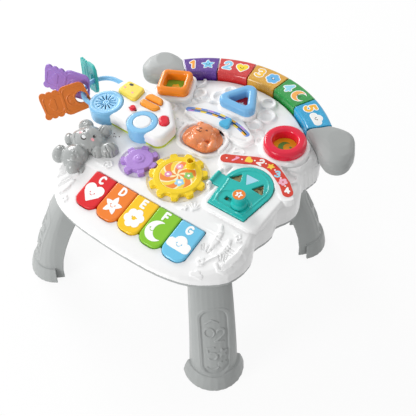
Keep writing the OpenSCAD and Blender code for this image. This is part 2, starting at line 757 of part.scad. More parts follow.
module number_key_1() { number_key(1, [0.42, 0.25, 0.62]); }
module number_key_2() { number_key(2, [0.84, 0.23, 0.20]); }
module number_key_3() { number_key(3, [0.85, 0.64, 0.24]); }
module number_key_4() { number_key(4, [0.18, 0.66, 0.31]); }
module number_key_5() { number_key(5, [0.10, 0.64, 0.85]); }

// ---------------------------------------------------------------- piano keys

module piano_key(i, tone) {
    mid_x = (i - 3) * piano_pitch;
    color(tone) on_deck() difference() {
        soft_plate(piano_corners(i), [tongue_r, tongue_r, 3, 3],
            -piano_deep, piano_proud, 2.6, 6);
        translate([mid_x, rod_y, rod_z]) rotate([0, 90, 0])
            cylinder(r = rod_r + run_clear, h = piano_pitch + 2, center = true);
    }
}

module piano_key_1() { piano_key(1, red); }
module piano_key_2() { piano_key(2, orange); }
module piano_key_3() { piano_key(3, yellow); }
module piano_key_4() { piano_key(4, green); }
module piano_key_5() { piano_key(5, [0.46, 0.80, 0.93]); }

module piano_rod() {
    color([0.75, 0.76, 0.78]) on_deck() translate([0, rod_y, rod_z]) rotate([0, 90, 0])
        cylinder(r = rod_r, h = 2 * rod_half, center = true);
}

// ---------------------------------------------------------------- gears

pressure_angle = 25;
function involute(a) = tan(a) - a * PI / 180;

// Half of a tooth's width at radius r, as an angle
function half_tooth(teeth, r) =
    let (pitch_r = gear_module * teeth / 2, base_r = pitch_r * cos(pressure_angle),
         lean = acos(min(1, base_r / r)),
         half_pitch = (PI * gear_module / 2 - tooth_play / 2) / 2 / pitch_r)
    (half_pitch + involute(pressure_angle) - involute(lean)) * 180 / PI;

// Outline of a gear with involute flanks and rounded tips
function gear_points(teeth, phase) =
    let (pitch_r = gear_module * teeth / 2, root = pitch_r - tooth_dedendum,
         base_r = pitch_r * cos(pressure_angle), tip = pitch_r + tooth_addendum,
         flank = [base_r, (base_r + pitch_r) / 2, pitch_r, tip - 1.2],
         half = concat([[root, half_tooth(teeth, base_r) + 2.5], [root + 1.5, half_tooth(teeth, base_r) + 0.4]],
             [for (r = flank) [r, half_tooth(teeth, r)]], [[tip, half_tooth(teeth, tip) - 1.6]]))
    [for (k = [0:teeth - 1]) let (mid = phase + k * 360 / teeth)
        each concat([for (h = half) h[0] * [cos(mid - h[1]), sin(mid - h[1])]],
            [for (h = reversed(half)) h[0] * [cos(mid + h[1]), sin(mid + h[1])]])];

gear_base = 0.3 - tray_depth;
gear_top = gear_base + gear_t;
hub_r = 9;
gear_roof = 2;
large_phase = gear_line + 180 / large_teeth;
small_phase = gear_line + 180;
sticker_r = 33;
crank_r = 8;
crank_at = [6, 30];
crank_top = 21;

module gear_body(teeth, phase) {
    pitch_r = gear_module * teeth / 2;
    difference() {
        union() {
            translate([0, 0, gear_base]) linear_extrude(gear_t - 1.2) polygon(gear_points(teeth, phase));
            translate([0, 0, gear_base]) cylinder(r = pitch_r - tooth_dedendum - 0.5, h = gear_t);
        }
        translate([0, 0, gear_base - 1]) difference() {
            cylinder(r = pitch_r - tooth_dedendum - 4, h = gear_t - 2);
            cylinder(r = hub_r, h = gear_t);
        }
        translate([0, 0, gear_base - 1]) cylinder(r = axle_r + run_clear, h = gear_t - gear_roof + 1);
    }
}

module gear_large() {
    color(yellow) on_panel() translate([large_gear_x, large_gear_y, 0]) difference() {
        union() {
            gear_body(large_teeth, large_phase);
            translate([crank_at[0], crank_at[1], gear_top - 2.5]) cylinder(r = crank_r, h = crank_top - gear_top + 2.5);
        }
        difference() {
            translate([0, 0, gear_top - 0.8]) cylinder(r = sticker_r, h = 2);
            translate([crank_at[0], crank_at[1], 0]) cylinder(r = crank_r + 1, h = 30);
        }
        translate([crank_at[0], crank_at[1], gear_top + 1]) cylinder(r = crank_r - 2.4, h = 30);
    }
}

module gear_small() {
    color([0.71, 0.56, 0.84]) on_panel() translate([small_gear_at[0], small_gear_at[1], 0]) {
        gear_body(small_teeth, small_phase);
        translate([0, 0, gear_top - 0.5]) cylinder(r1 = 11, r2 = 9, h = 2);
        translate([0, 0, gear_top]) cylinder(r1 = 4.5, r2 = 3.5, h = 3);
    }
}

module gear_axles() {
    color([0.9, 0.9, 0.9]) on_panel() for (p = [large_gear_at, small_gear_at])
        translate([p[0], p[1], -tray_depth]) cylinder(r = axle_r, h = gear_t - gear_roof);
}

// ---------------------------------------------------------------- door

lock_x = door_x + 11;
lock_y = -12;
lock_base_r = 14.5;
lock_r = 12.5;
lock_h = 25;
lock_neck = 8;
window_y = 25;
window_w = 26;
window_h = 21;
pane_t = 1.6;

function window_corners(i) = i == 0
    ? moved([[-window_w / 2, window_h], [0, 0], [window_w / 2, window_h]], [door_x - 4, window_y + 4])
    : moved([[-window_w / 2 + 1, 0], [window_w / 2 - 1, -2 * i], [2 - 2 * i, window_h]],
        [door_x - 4 + 24 * i, window_y + 2]);

module door() {
    color(teal) on_panel() difference() {
        union() {
            translate([0, 0, door_base]) linear_extrude(door_t) door_outline();
            translate([hinge_x, hinge_y - hinge_l / 2, door_base + 0.2])
                cube([door_x - door_w / 2 + 6 - hinge_x, hinge_l, door_t - 0.4]);
            translate([hinge_x, hinge_y, hinge_z]) rotate([90, 0, 0])
                cylinder(r = barrel_r, h = hinge_l, center = true);
            translate([0, 0, door_top - 0.5]) linear_extrude(1.5) difference() {
                door_outline(-7);
                door_outline(-9);
            }
        }
        translate([hinge_x, hinge_y, hinge_z]) rotate([90, 0, 0])
            cylinder(r = hinge_pin_r + run_clear, h = hinge_l + 2, center = true);
        for (i = [-1, 1]) plate(window_corners(i), 1.2, 0, panel_reach);
        plate(window_corners(0), 1.2, door_top - pane_t, panel_reach);
        translate([lock_x - lock_travel - lock_neck / 2 - 0.5, lock_y - lock_neck / 2 - 0.3, 0])
            cube([lock_travel + lock_neck + 1, lock_neck + 0.6, panel_reach]);
    }
}

module door_window() {
    color([0.65, 0.85, 0.95]) on_panel() plate(window_corners(0), 1.2, door_top - pane_t, door_top, 0.1);
}

module door_lock_knob() {
    color(teal) on_panel() translate([lock_x, lock_y, 0]) {
        translate([0, 0, door_top + 0.3]) rotate_extrude() polygon([[0, 0], [lock_base_r, 0],
            [lock_base_r, 1.5], [lock_r + 1.5, 4.5], [lock_r - 0.5, 9], [lock_r, lock_h - 1.5],
            [lock_r - 1.5, lock_h], [0, lock_h]]);
    }
}

// The neck that runs in the door's slot, with the catch plate behind the door
module door_lock_foot() {
    color(teal) on_panel() translate([lock_x, lock_y, 0]) {
        translate([-lock_neck / 2, -lock_neck / 2, door_base - 0.5])
            cube([lock_neck, lock_neck, door_t + 0.8]);
        translate([-lock_travel, -7, door_base - 2.3]) cube([lock_travel + 10, 14, 2]);
    }
}

module door_hinge_pin() {
    color([0.75, 0.76, 0.78]) on_panel() translate([hinge_x, hinge_y, hinge_z]) rotate([90, 0, 0])
        cylinder(r = hinge_pin_r, h = hinge_l + 2 * hinge_gap + 2 * knuckle_l - 1, center = true);
}

module door_picture_card() {
    color([0.75, 0.55, 0.35]) on_panel() translate([0, 0, door_floor]) linear_extrude(card_t) door_outline(-3);
}

module roof_label() {
    color([0.86, 0.27, 0.20]) on_panel() difference() {
        translate([0, 0, door_top]) linear_extrude(1) polygon(roof_strip);
        translate([round_at[0], round_at[1], 0]) cylinder(r = round_r + collar_flange + 0.3, h = panel_reach);
    }
}

// ---------------------------------------------------------------- shape rings

// A moulded ring through matching outlines: rounded rim, straight well and a spigot in the collar
module shaped_ring(outer, outer_r, hole, hole_r, spigot) {
    roll = 6;
    band(concat(
        [lift(rounded(hole, hole_r), ring_floor + 1.2)],
        [lift(rounded(hole, hole_r, -spigot), ring_floor + 1.2)],
        [lift(rounded(hole, hole_r, -spigot), collar_h + ring_clear)],
        [lift(rounded(outer, outer_r, 0), collar_h + ring_clear)],
        [for (a = [0, 30, 60, 90])
            lift(rounded(outer, outer_r, roll * (1 - cos(a))), ring_top - roll * (1 - sin(a)))],
        [for (a = [90, 60, 30, 0])
            lift(rounded(hole, hole_r, -roll * (1 - cos(a)) * 0.8), ring_top - roll * (1 - sin(a)))]));
}

module square_ring() {
    color(orange) on_panel() shaped_ring(square_corners(square_w, square_at, square_turn), 12,
        square_corners(square_hole, square_at, square_turn), 6, seat_wall - ring_clear);
}

module triangle_ring() {
    color(sky) on_panel() shaped_ring(triangle_corners(triangle_w, triangle_at), 16,
        triangle_corners(triangle_hole, triangle_at), 4, seat_wall - ring_clear);
}

module round_ring() {
    roll = 6;
    color([0.91, 0.09, 0.25]) on_panel() translate([round_at[0], round_at[1], 0]) rotate_extrude() {
        polygon([[round_hole_r, ring_floor + 1.2], [round_hole_r + seat_wall - ring_clear, ring_floor + 1.2],
            [round_hole_r + seat_wall - ring_clear, collar_h + ring_clear], [round_r, collar_h + ring_clear],
            [round_r, ring_top - roll], [round_r - roll, ring_top], [round_hole_r + roll - 2, ring_top],
            [round_hole_r, ring_top - roll + 1]]);
        translate([round_r - roll, ring_top - roll]) circle(roll);
        translate([round_hole_r + roll - 1, ring_top - roll + 1]) circle(roll - 1);
    }
}

module square_floor() {
    color(green) on_panel() plate(square_corners(square_hole, square_at, square_turn), 6,
        ring_floor, ring_floor + 1.2, ring_clear - seat_wall);
}

module triangle_floor() {
    color(red) on_panel() plate(triangle_corners(triangle_hole, triangle_at), 4,
        ring_floor, ring_floor + 1.2, ring_clear - seat_wall);
}

module round_floor() {
    color(yellow) on_panel() translate([round_at[0], round_at[1], ring_floor])
        cylinder(r = round_hole_r + seat_wall - ring_clear, h = 1.2);
}

// ---------------------------------------------------------------- slider, puppy and cub

knob_reach = 22;
knob_w = 28;
knob_l = 31;
knob_h = 8;

module slider_knob() {
    color([0.25, 0.66, 0.85]) on_panel() translate([slider_x, slider_y, 0]) rotate(-slider_rest) {
        soft_plate(moved([[-knob_w / 2, 0], [knob_w / 2, 0], [0, knob_l]], [0, slider_r - knob_reach]),
            5, pad_h + 0.3, pad_h + knob_h, 3);
        translate([-2, slider_r - slot_w / 2 + 0.4, pad_h - wall - 1]) cube([4, slot_w - 0.8, wall + 3]);
        translate([0, slider_r, pad_h - wall - 2]) cylinder(r = 4.5, h = 1.7);
    }
}

puppy_stem_r = 8;
puppy_lift = 0.3;

module puppy_button() {
    base = puppy_floor + press + puppy_lift;
    color([0.91, 0.57, 0.35]) on_panel() translate([puppy_at[0], puppy_at[1], 0]) {
        plate(box_corners(puppy_w, puppy_l - 2), 25, base, base + 3);
        intersection() {
            union() {
                translate([0, 8, 5]) rotate([0, 90, 0]) egg(13, 27);
                translate([-4, 10, 6]) egg(22, 12);
                translate([-5, -12, 4]) egg(19, 11);
                for (s = [-1, 1]) translate([4 + 24 * s, -8, 4]) rotate(20 * s) rotate([90, 0, 0]) egg(9, 19);
                translate([16, -18, 4]) egg(11, 9);
                for (s = [-1, 1]) translate([-4 + 16 * s, 23, 6]) egg(8, 8);
            }
            plate(box_corners(puppy_w, puppy_l - 2), 25, base + 1, 40);
        }
        translate([0, 0, puppy_floor - wall - 2.4]) cylinder(r = puppy_stem_r, h = 8);
        translate([0, 0, puppy_floor - wall - 3.6]) cylinder(r = puppy_stem_r + 3, h = 1.6);
    }
}

cub_at = [-176, -58];

module bear_cub() {
    color(grey) difference() {
        on_panel() translate([cub_at[0], cub_at[1], 0]) {
            translate([-2, 17, 6]) egg(31, 24);
            translate([-1, 14, 6]) rotate([0, 90, 8]) egg(23, 36);
            translate([-25, 36, 15]) egg(14, 12);
            translate([12, 46, 14]) egg(13, 12);
            translate([45, 20, 6]) rotate([0, 0, 40]) rotate([0, 90, 0]) egg(15, 17);
            translate([30, 6, 4]) egg(12, 14);
            translate([-36, 0, 5]) rotate([0, 90, -40]) egg(9, 15);
            translate([0, -24, 2]) egg(25, 20);
            translate([-27, -35, 2]) rotate([0, 90, -60]) egg(14, 18);
            translate([13, -42, -2]) egg(14, 15);
            translate([26, -32, -5]) rotate([90, 0, 30]) egg(5, 14);
        }
        cub_ground();
    }
}

// Everything below the panel and the piano's panel
module cub_ground() {
    on_panel() translate([-300, piano_y - 6, -80]) cube([300, 200, 80]);
    on_deck() translate([-300, -120, -80]) cube([300, 122, 80]);
}

// ---------------------------------------------------------------- console

console_corners = [[-230, 18], [-56, 14], [-56, 62], [-104, 109], [-220, 113]];
console_r = 18;
speaker_at = [-203, 38];
lens_at = [-113, 36];
square_button_at = [-182, 87];
split_button_at = [-129, 86];
oval_button_at = [-81, 60];
switch_at = [-150, 53];
body_wall = 2.4;
flange = 1.4;
switch_travel = 5;

module console_bites(clear) {
    translate([speaker_at[0], speaker_at[1], -1]) cylinder(r = speaker_r + clear, h = 60);
    translate([lens_at[0], lens_at[1], -1]) cylinder(r = lens_r + clear, h = 60);
}

module console_base() {
    color([0.72, 0.82, 0.20]) on_panel() difference() {
        plate(console_corners, console_r, 0, console_base_h, 1.5);
        console_bites(0.3);
    }
}

module console_body() {
    color(white) on_panel() difference() {
        soft_plate(console_corners, console_r, console_base_h, console_h, 7);
        plate(console_corners, console_r, console_base_h - 1, console_h - body_wall, 3.2);
        console_bites(0.3);
        plate(square_button_corners, button_edge, console_h - 10, 60, -button_gap);
        for (s = [-1, 1]) plate(split_corners(s), split_radii(s), console_h - 10, 60, -button_gap);
        oval_button_place() oval_outline(button_gap);
        translate([switch_at[0] - 3 - switch_travel - 1, switch_at[1] - 2.4, console_h - 10])
            cube([2 * switch_travel + 8, 4.8, 20]);
        key_ring_bars(0.1);
    }
}

module speaker_housing() {
    top = console_h + 2;
    color(sky) on_panel() translate([speaker_at[0], speaker_at[1], 0]) difference() {
        union() {
            cylinder(r = speaker_r, h = top - 2);
            cylinder(r = speaker_r - 2, h = top);
        }
        translate([0, 0, -1]) cylinder(r = speaker_r - body_wall - 1, h = top - body_wall);
        translate([0, 0, top - 0.8]) cylinder(r = speaker_r - 8, h = 5);
        for (k = [0:13]) rotate(k * 360 / 14) translate([6, -0.9, top - 8]) cube([14, 1.8, 20]);
        for (k = [0:5]) rotate(k * 60) translate([1.6, -0.7, top - 8]) cube([3, 1.4, 20]);
        translate([-speaker_at[0], -speaker_at[1], 0]) key_ring_bars(0.1);
    }
}

driver_r = speaker_r - body_wall - 1.3;
module speaker_driver() {
    color([0.25, 0.25, 0.27]) on_panel() translate([speaker_at[0], speaker_at[1], 0]) rotate_extrude()
        polygon([[0, 0], [13, 0], [13, 5], [16, 5], [25, 12], [driver_r, 12], [driver_r, 14], [23, 14],
            [10, 8], [0, 8]]);
}

module lens_ring() {
    top = console_h + 1;
    color(sky) on_panel() translate([lens_at[0], lens_at[1], 0]) difference() {
        union() {
            cylinder(r = lens_r, h = top - 3);
            cylinder(r = lens_r - 3, h = top);
            translate([0, 0, top - 3]) rotate_extrude() translate([lens_r - 3, 0]) circle(3);
        }
        translate([0, 0, -1]) cylinder(r = lens_r - body_wall - 1, h = top - 3);
        translate([0, 0, top - 8]) cylinder(r = lens_button_r + button_gap, h = 20);
    }
}

module lens_button() {
    color(white) on_panel() translate([lens_at[0], lens_at[1], 0]) {
        translate([0, 0, console_h - 6]) cylinder(r = lens_button_r, h = 6.5);
        translate([0, 0, console_h - 1]) cylinder(r = lens_button_r - 2, h = 2.5);
        translate([0, 0, console_h - 6.3]) cylinder(r = lens_button_r + flange + button_gap, h = 3);
    }
}

button_edge = 7;
square_button_corners = moved([[-24, -13.5], [24, -19], [20, 17], [-21, 18]], square_button_at);
// Half of the split button: the front half is the longer one
function split_corners(s) = s < 0
    ? moved([[-21, -17], [21, -17], [21, -2.5], [-21, -2.5]], split_button_at)
    : moved([[-21, 1.5], [20, 1.5], [12, 16], [-20, 17]], split_button_at);
function split_radii(s) = s < 0 ? [9, 10, 4, 4] : [3, 3, 8, 10];

module press_button(corners, r, top) {
    plate(corners, r, console_h - body_wall - 3.2, console_h - body_wall - 0.3, -flange);
    soft_plate(corners, r, console_h - body_wall - 3.2, top, 3);
}

module square_button() { color(yellow) on_panel() press_button(square_button_corners, button_edge, 34); }
module split_button_upper() { color(orange) on_panel() press_button(split_corners(1), split_radii(1), 31.5); }
module split_button_lower() { color(orange) on_panel() press_button(split_corners(-1), split_radii(-1), 31.5); }

module oval_button_place() {
    translate([oval_button_at[0], oval_button_at[1], 0]) rotate(-45) children();
}

module oval_outline(grow, z0 = 15, z1 = 60) {
    translate([0, 0, z0]) linear_extrude(z1 - z0) {
        for (s = [-1, 1]) translate([s * 4.5, 0]) circle(9 + grow);
        translate([-4.5, -9 - grow]) square([9, 18 + 2 * grow]);
    }
}

module oval_button() {
    color([0.90, 0.09, 0.24]) on_panel() oval_button_place() {
        oval_outline(flange, console_h - body_wall - 3.2, console_h - body_wall - 0.3);
        oval_outline(0, console_h - body_wall - 3.2, console_h + 1.5);
        oval_outline(-2, console_h, console_h + 3);
    }
}

module volume_switch() {
    color(red) on_panel() translate([switch_at[0], switch_at[1], 0]) {
        translate([-3, -1.8, console_h - body_wall - 1]) cube([6, 3.6, body_wall + 2]);
        translate([0, 0, console_h + 0.3]) cylinder(r1 = 6.5, r2 = 5, h = 5);
        translate([-5, -4, console_h - body_wall - 1.8]) cube([10, 8, 1.5]);
    }
}

// ---------------------------------------------------------------- key ring and toy keys

key_ring_at = [key_ring_x, key_ring_y];
bar_l = 16;

// The two straight ends of the key ring, which enter the console
module key_ring_bars(grow = 0) {
    for (s = [-1, 1]) translate([key_ring_x - 10 * grow, key_ring_y + s * key_ring_r, key_ring_z])
        rotate([0, 90, 0]) cylinder(r = key_bar_r + grow, h = bar_l + 10 * grow);
}

module key_ring() {
    color(sky) on_panel() {
        translate([key_ring_x, key_ring_y, key_ring_z]) rotate(90) rotate_extrude(angle = 180)
            translate([key_ring_r, 0]) circle(key_bar_r);
        key_ring_bars();
    }
}

eye_r = 11;
eye_shift = eye_r - key_bar_r - 1.8;
tail_l = 14;
bow_l = 56;

// Outline of a toy key, from the end behind the bar to the tip of the blade
module toy_key_outline() {
    half = toy_key_w / 2;
    difference() {
        union() {
            polygon(rounded([[-tail_l, 7 - half], [bow_l - tail_l, -half], [bow_l - tail_l + 2, half - 2],
                [9 - tail_l, half]], 12, 0, 4));
            polygon(rounded([[bow_l - tail_l - 12, 8 - half], [toy_key_l - 4, 7 - half],
                [toy_key_l, half - 9], [bow_l - tail_l - 12, half - 8]], 6, 0, 4));
            for (k = [0:2]) translate([bow_l - tail_l + 8 + 12 * k, half - 11]) circle(7);
            for (k = [0:2]) translate([bow_l - tail_l + 8 + 12 * k, 10 - half]) circle(7);
        }
        translate([eye_shift, 0]) circle(eye_r);
    }
}

// A toy key: its angle round the ring, its rise from the level and its tilt about its length
module toy_key(around, rise, tilt, tone) {
    color(tone) on_panel() translate([key_ring_x + key_ring_r * cos(around),
        key_ring_y + key_ring_r * sin(around), key_ring_z])
        rotate([0, 0, around]) rotate([0, -rise, 0]) rotate([90 - tilt, 0, 0])
            linear_extrude(toy_key_t, center = true) toy_key_outline();
}

module toy_key_orange() { toy_key(234, -3, -24, [0.85, 0.46, 0.16]); }
module toy_key_purple() { toy_key(202, 16, -10, [0.61, 0.47, 0.77]); }
module toy_key_teal() { toy_key(156, -18, -10, [0.21, 0.72, 0.69]); }

// ---------------------------------------------------------------- inside the housing

board_posts = [[-80, 20], [80, 20], [-80, 95], [80, 95]];
board_z = leg_z + 14;
bay_w = 62;
bay_l = 50;
bay_h = 19;
bay_y = -45;
bay_door_t = 2;
cell_r = 7.25;
cell_l = 50.5;

module circuit_board() {
    color([0.1, 0.45, 0.25]) on_floor() {
        translate([-88, 12, board_z]) cube([176, 91, 1.6]);
        translate([-15, 50, board_z + 1.6]) cube([20, 20, 2.4]);
        for (k = [0:3]) translate([30 + 9 * k, 60, board_z + 1.6]) cylinder(r = 3, h = 8);
    }
}

module battery_door() {
    color([0.55, 0.56, 0.57]) on_floor() difference() {
        translate([-bay_w / 2 - 2.7, bay_y - bay_l / 2 - 2.7, leg_z]) cube([bay_w + 5.4, bay_l + 5.4, bay_door_t]);
        for (k = [-2:2]) translate([-12, bay_y - 0.8 + 4 * k, leg_z - 1]) cube([24, 1.6, 1.5]);
    }
}

module batteries() {
    color([0.2, 0.2, 0.22]) on_floor() for (k = [-1:1])
        translate([-cell_l / 2, bay_y + 15.2 * k, leg_z + bay_door_t + cell_r]) rotate([0, 90, 0]) {
            cylinder(r = cell_r, h = cell_l - 1);
            cylinder(r = 2.7, h = cell_l);
        }
}

module battery_contacts() {
    color([0.8, 0.8, 0.82]) on_floor() for (k = [-1:1])
        translate([0, bay_y + 15.2 * k, leg_z + bay_door_t + cell_r]) rotate([0, 90, 0]) {
            translate([0, 0, cell_l / 2]) cylinder(r = 5, h = (bay_w - cell_l) / 2);
            translate([0, 0, -bay_w / 2]) cylinder(r1 = 6, r2 = 3, h = (bay_w - cell_l) / 2);
        }
}

module housing_screws() {
    color([0.7, 0.7, 0.72]) on_floor() for (p = screw_posts) translate([p[0], p[1], leg_z]) {
        translate([0, 0, 0.4]) cylinder(r = 3.5, h = 1.6);
        cylinder(r = screw_r, h = cover_h + 11);
    }
}

// ---------------------------------------------------------------- the nodes

top_shell();
bottom_cover();
leg_front_right();
leg_front_left();
leg_back_right();
leg_back_left();
grip_core();
grip_cap_right();
grip_cap_left();
number_key_1();
number_key_2();
number_key_3();
number_key_4();
number_key_5();
piano_key_1();
piano_key_2();
piano_key_3();
piano_key_4();
piano_key_5();
piano_rod();
gear_large();
gear_small();
gear_axles();
door();
door_window();
door_lock_knob();
door_lock_foot();
door_hinge_pin();
door_picture_card();
square_ring();
triangle_ring();
round_ring();
square_floor();
triangle_floor();
round_floor();
roof_label();
slider_knob();
puppy_button();
bear_cub();
console_base();
console_body();
speaker_housing();
speaker_driver();
lens_ring();
lens_button();
square_button();
split_button_upper();
split_button_lower();
oval_button();
volume_switch();
key_ring();
toy_key_orange();
toy_key_purple();
toy_key_teal();
circuit_board();
battery_door();
batteries();
battery_contacts();
housing_screws();
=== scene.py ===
"""Looks of the musical activity table: soft moulded plastics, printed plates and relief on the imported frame."""

import math

import bpy
import bmesh
import numpy as np
from mathutils import Matrix, Vector
from mathutils.bvhtree import BVHTree


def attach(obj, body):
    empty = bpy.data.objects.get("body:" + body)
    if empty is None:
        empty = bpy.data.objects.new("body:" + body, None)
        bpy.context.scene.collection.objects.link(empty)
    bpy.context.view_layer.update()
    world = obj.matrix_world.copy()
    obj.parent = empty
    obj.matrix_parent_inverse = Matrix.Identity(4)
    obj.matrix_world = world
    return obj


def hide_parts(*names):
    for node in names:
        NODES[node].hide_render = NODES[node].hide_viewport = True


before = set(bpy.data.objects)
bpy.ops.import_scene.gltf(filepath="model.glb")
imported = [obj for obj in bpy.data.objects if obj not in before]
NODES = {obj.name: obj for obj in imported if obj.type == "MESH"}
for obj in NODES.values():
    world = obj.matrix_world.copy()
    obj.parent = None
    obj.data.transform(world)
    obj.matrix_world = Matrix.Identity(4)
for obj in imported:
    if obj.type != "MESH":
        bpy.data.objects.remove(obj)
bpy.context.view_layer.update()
scene = bpy.context.scene

# ------------------------------------------------------------------ the part's own frames, in millimetres

MM = 0.001
STAND = (50.0, -44.0)
PANEL_Z, PANEL_TILT = 243.0, 5.0
PIANO_Y, PIANO_SLOPE, PIANO_PITCH = -83.0, 15.7, 48.0
DECK_DROP = 2
DECK_Z = PANEL_Z + PIANO_Y * math.tan(math.radians(PANEL_TILT)) - DECK_DROP


def turned(angle, axis):
    """Rotation by degrees"""
    return Matrix.Rotation(math.radians(angle), 4, axis)


def local_frame(x, y, z, tilt):
    """Matrix from millimetres in a tilted frame to metres in the part's frame"""
    return Matrix.Scale(MM, 4) @ Matrix.Translation((x, y, z)) @ turned(tilt, "X")


# The panel carries the rings, gears and door; the deck, in front of it, carries the piano keys
PANEL = local_frame(*STAND, PANEL_Z, PANEL_TILT)
DECK = local_frame(STAND[0], STAND[1] + PIANO_Y, DECK_Z, PIANO_SLOPE)


def at(frame_matrix, x, y, z=0.0, turn=0.0):
    """A frame moved and turned within another one"""
    return frame_matrix @ Matrix.Translation((x, y, z)) @ turned(turn, "Z")


def apply(matrix, points):
    """Points of one frame in another"""
    m = np.array(matrix)
    return points @ m[:3, :3].T + m[:3, 3]


# ------------------------------------------------------------------ materials

# Sockets of a colour mix node, whose names are shared with its number and vector ones
MIX_SHARE, MIX_A, MIX_B, MIX_COLOUR = 0, 6, 7, 2
# Part of each coat that the plain light leaves room for
COAT_SHARE = 0.4
# Scales of the flow marks and of the uneven gloss, and depth of the grain in metres
FLOW_SCALE, GLOSS_SCALE, GRAIN_DEPTH = 22, 140, 0.00012


def linear(hex_colour):
    """Linear colour of a #RRGGBB one"""
    channels = [int(hex_colour[i:i + 2], 16) / 255 for i in (1, 3, 5)]
    return [c / 12.92 if c < 0.04045 else ((c + 0.055) / 1.055) ** 2.4 for c in channels] + [1.0]


def node_of(tree, kind, **values):
    """A shader node with its settings and inputs, whose spaces are written as underscores"""
    n = tree.nodes.new(kind)
    for key, value in values.items():
        if hasattr(n, key):
            setattr(n, key, value)
        else:
            n.inputs[key.replace("_", " ")].default_value = value
    return n


def mixed(tree, share, a, b):
    """Colour mix of two sockets or colours, by a socket's share"""
    mix = node_of(tree, "ShaderNodeMix", data_type="RGBA")
    tree.links.new(share, mix.inputs[MIX_SHARE])
    for index, side in ((MIX_A, a), (MIX_B, b)):
        if isinstance(side, list):
            mix.inputs[index].default_value = side
        else:
            tree.links.new(side, mix.inputs[index])
    return mix.outputs[MIX_COLOUR]


def noise(tree, place, scale, detail, **values):
    """Noise on the piece's own coordinates"""
    n = node_of(tree, "ShaderNodeTexNoise", Scale=float(scale), Detail=detail, **values)
    tree.links.new(place.outputs["Object"], n.inputs["Vector"])
    return n.outputs["Fac"]


def plastic(name, hex_colour, rough, coat, vary=0.05, grain=0.25, grain_scale=900, glow=0.0):
    """Moulded plastic: faint flow marks in its colour, an uneven gloss and a fine grain"""
    mat = bpy.data.materials.new(name)
    mat.use_nodes = True
    tree = mat.node_tree
    bsdf = tree.nodes["Principled BSDF"]
    colour = linear(hex_colour)
    bsdf.inputs["Base Color"].default_value = colour
    bsdf.inputs["Coat Weight"].default_value = coat * COAT_SHARE
    bsdf.inputs["Specular IOR Level"].default_value = 0.3
    bsdf.inputs["Coat Roughness"].default_value = 0.12
    bsdf.inputs["IOR"].default_value = 1.5
    place = node_of(tree, "ShaderNodeTexCoord")
    flow = noise(tree, place, FLOW_SCALE, 3.0)
    dark = [c * (1 - vary) for c in colour[:3]] + [1]
    light = [min(1, c * (1 + vary * 0.6) + vary * 0.02) for c in colour[:3]] + [1]
    tree.links.new(mixed(tree, flow, dark, light), bsdf.inputs["Base Color"])
    wear = noise(tree, place, GLOSS_SCALE, 4.0)
    spread = node_of(tree, "ShaderNodeMapRange", To_Min=max(0.03, rough - 0.05), To_Max=rough + 0.07)
    tree.links.new(wear, spread.inputs["Value"])
    tree.links.new(spread.outputs["Result"], bsdf.inputs["Roughness"])
    fine = noise(tree, place, grain_scale, 2.0)
    bump = node_of(tree, "ShaderNodeBump", Strength=grain, Distance=GRAIN_DEPTH)
    tree.links.new(fine, bump.inputs["Height"])
    tree.links.new(bump.outputs["Normal"], bsdf.inputs["Normal"])
    if glow:
        bsdf.inputs["Subsurface Weight"].default_value = glow
        bsdf.inputs["Subsurface Scale"].default_value = 0.004
    return mat


def parts_of(mat):
    """A plastic's node tree, its shader and its coordinates"""
    tree = mat.node_tree
    return tree, tree.nodes["Principled BSDF"], next(n for n in tree.nodes if n.type == "TEX_COORD")


def glitter(name, hex_colour, fleck_hex):
    """Clear tinted plastic with small metal flakes in it"""
    mat = plastic(name, hex_colour, rough=0.14, coat=2.0, vary=0.12, grain=0.05)
    tree, bsdf, place = parts_of(mat)
    base = bsdf.inputs["Base Color"].links[0].from_socket
    cells = node_of(tree, "ShaderNodeTexVoronoi", Scale=760.0)
    tree.links.new(place.outputs["Object"], cells.inputs["Vector"])
    pick = node_of(tree, "ShaderNodeSeparateColor")
    tree.links.new(cells.outputs["Color"], pick.inputs["Color"])
    # Only the cells with the highest values are flakes
    gate = node_of(tree, "ShaderNodeMapRange", From_Min=0.84, From_Max=1.0, To_Max=0.7)
    tree.links.new(pick.outputs["Red"], gate.inputs["Value"])
    tree.links.new(mixed(tree, gate.outputs["Result"], base, linear(fleck_hex)), bsdf.inputs["Base Color"])
    return mat


def ink(name, hex_colour, rough=0.35, coat=0.25):
    """Plain printed colour"""
    return plastic(name, hex_colour, rough=rough, coat=coat)


def metal(name, hex_colour):
    """Brushed steel"""
    mat = plastic(name, hex_colour, rough=0.28, coat=0.0, vary=0.08, grain=0.3, grain_scale=1500)
    mat.node_tree.nodes["Principled BSDF"].inputs["Metallic"].default_value = 1.0
    return mat


def printed(name, hex_a, hex_b, scale):
    """Printed card with a loose two-tone pattern"""
    mat = plastic(name, hex_a, rough=0.45, coat=0.1, vary=0.05, grain=0.2)
    tree, bsdf, place = parts_of(mat)
    ramp = node_of(tree, "ShaderNodeValToRGB")
    for stop, position, tone in zip(ramp.color_ramp.elements, (0.42, 0.56), (hex_a, hex_b)):
        stop.position = position
        stop.color = linear(tone)
    tree.links.new(noise(tree, place, scale, 5.0, Distortion=1.2), ramp.inputs["Fac"])
    tree.links.new(ramp.outputs["Color"], bsdf.inputs["Base Color"])
    return mat


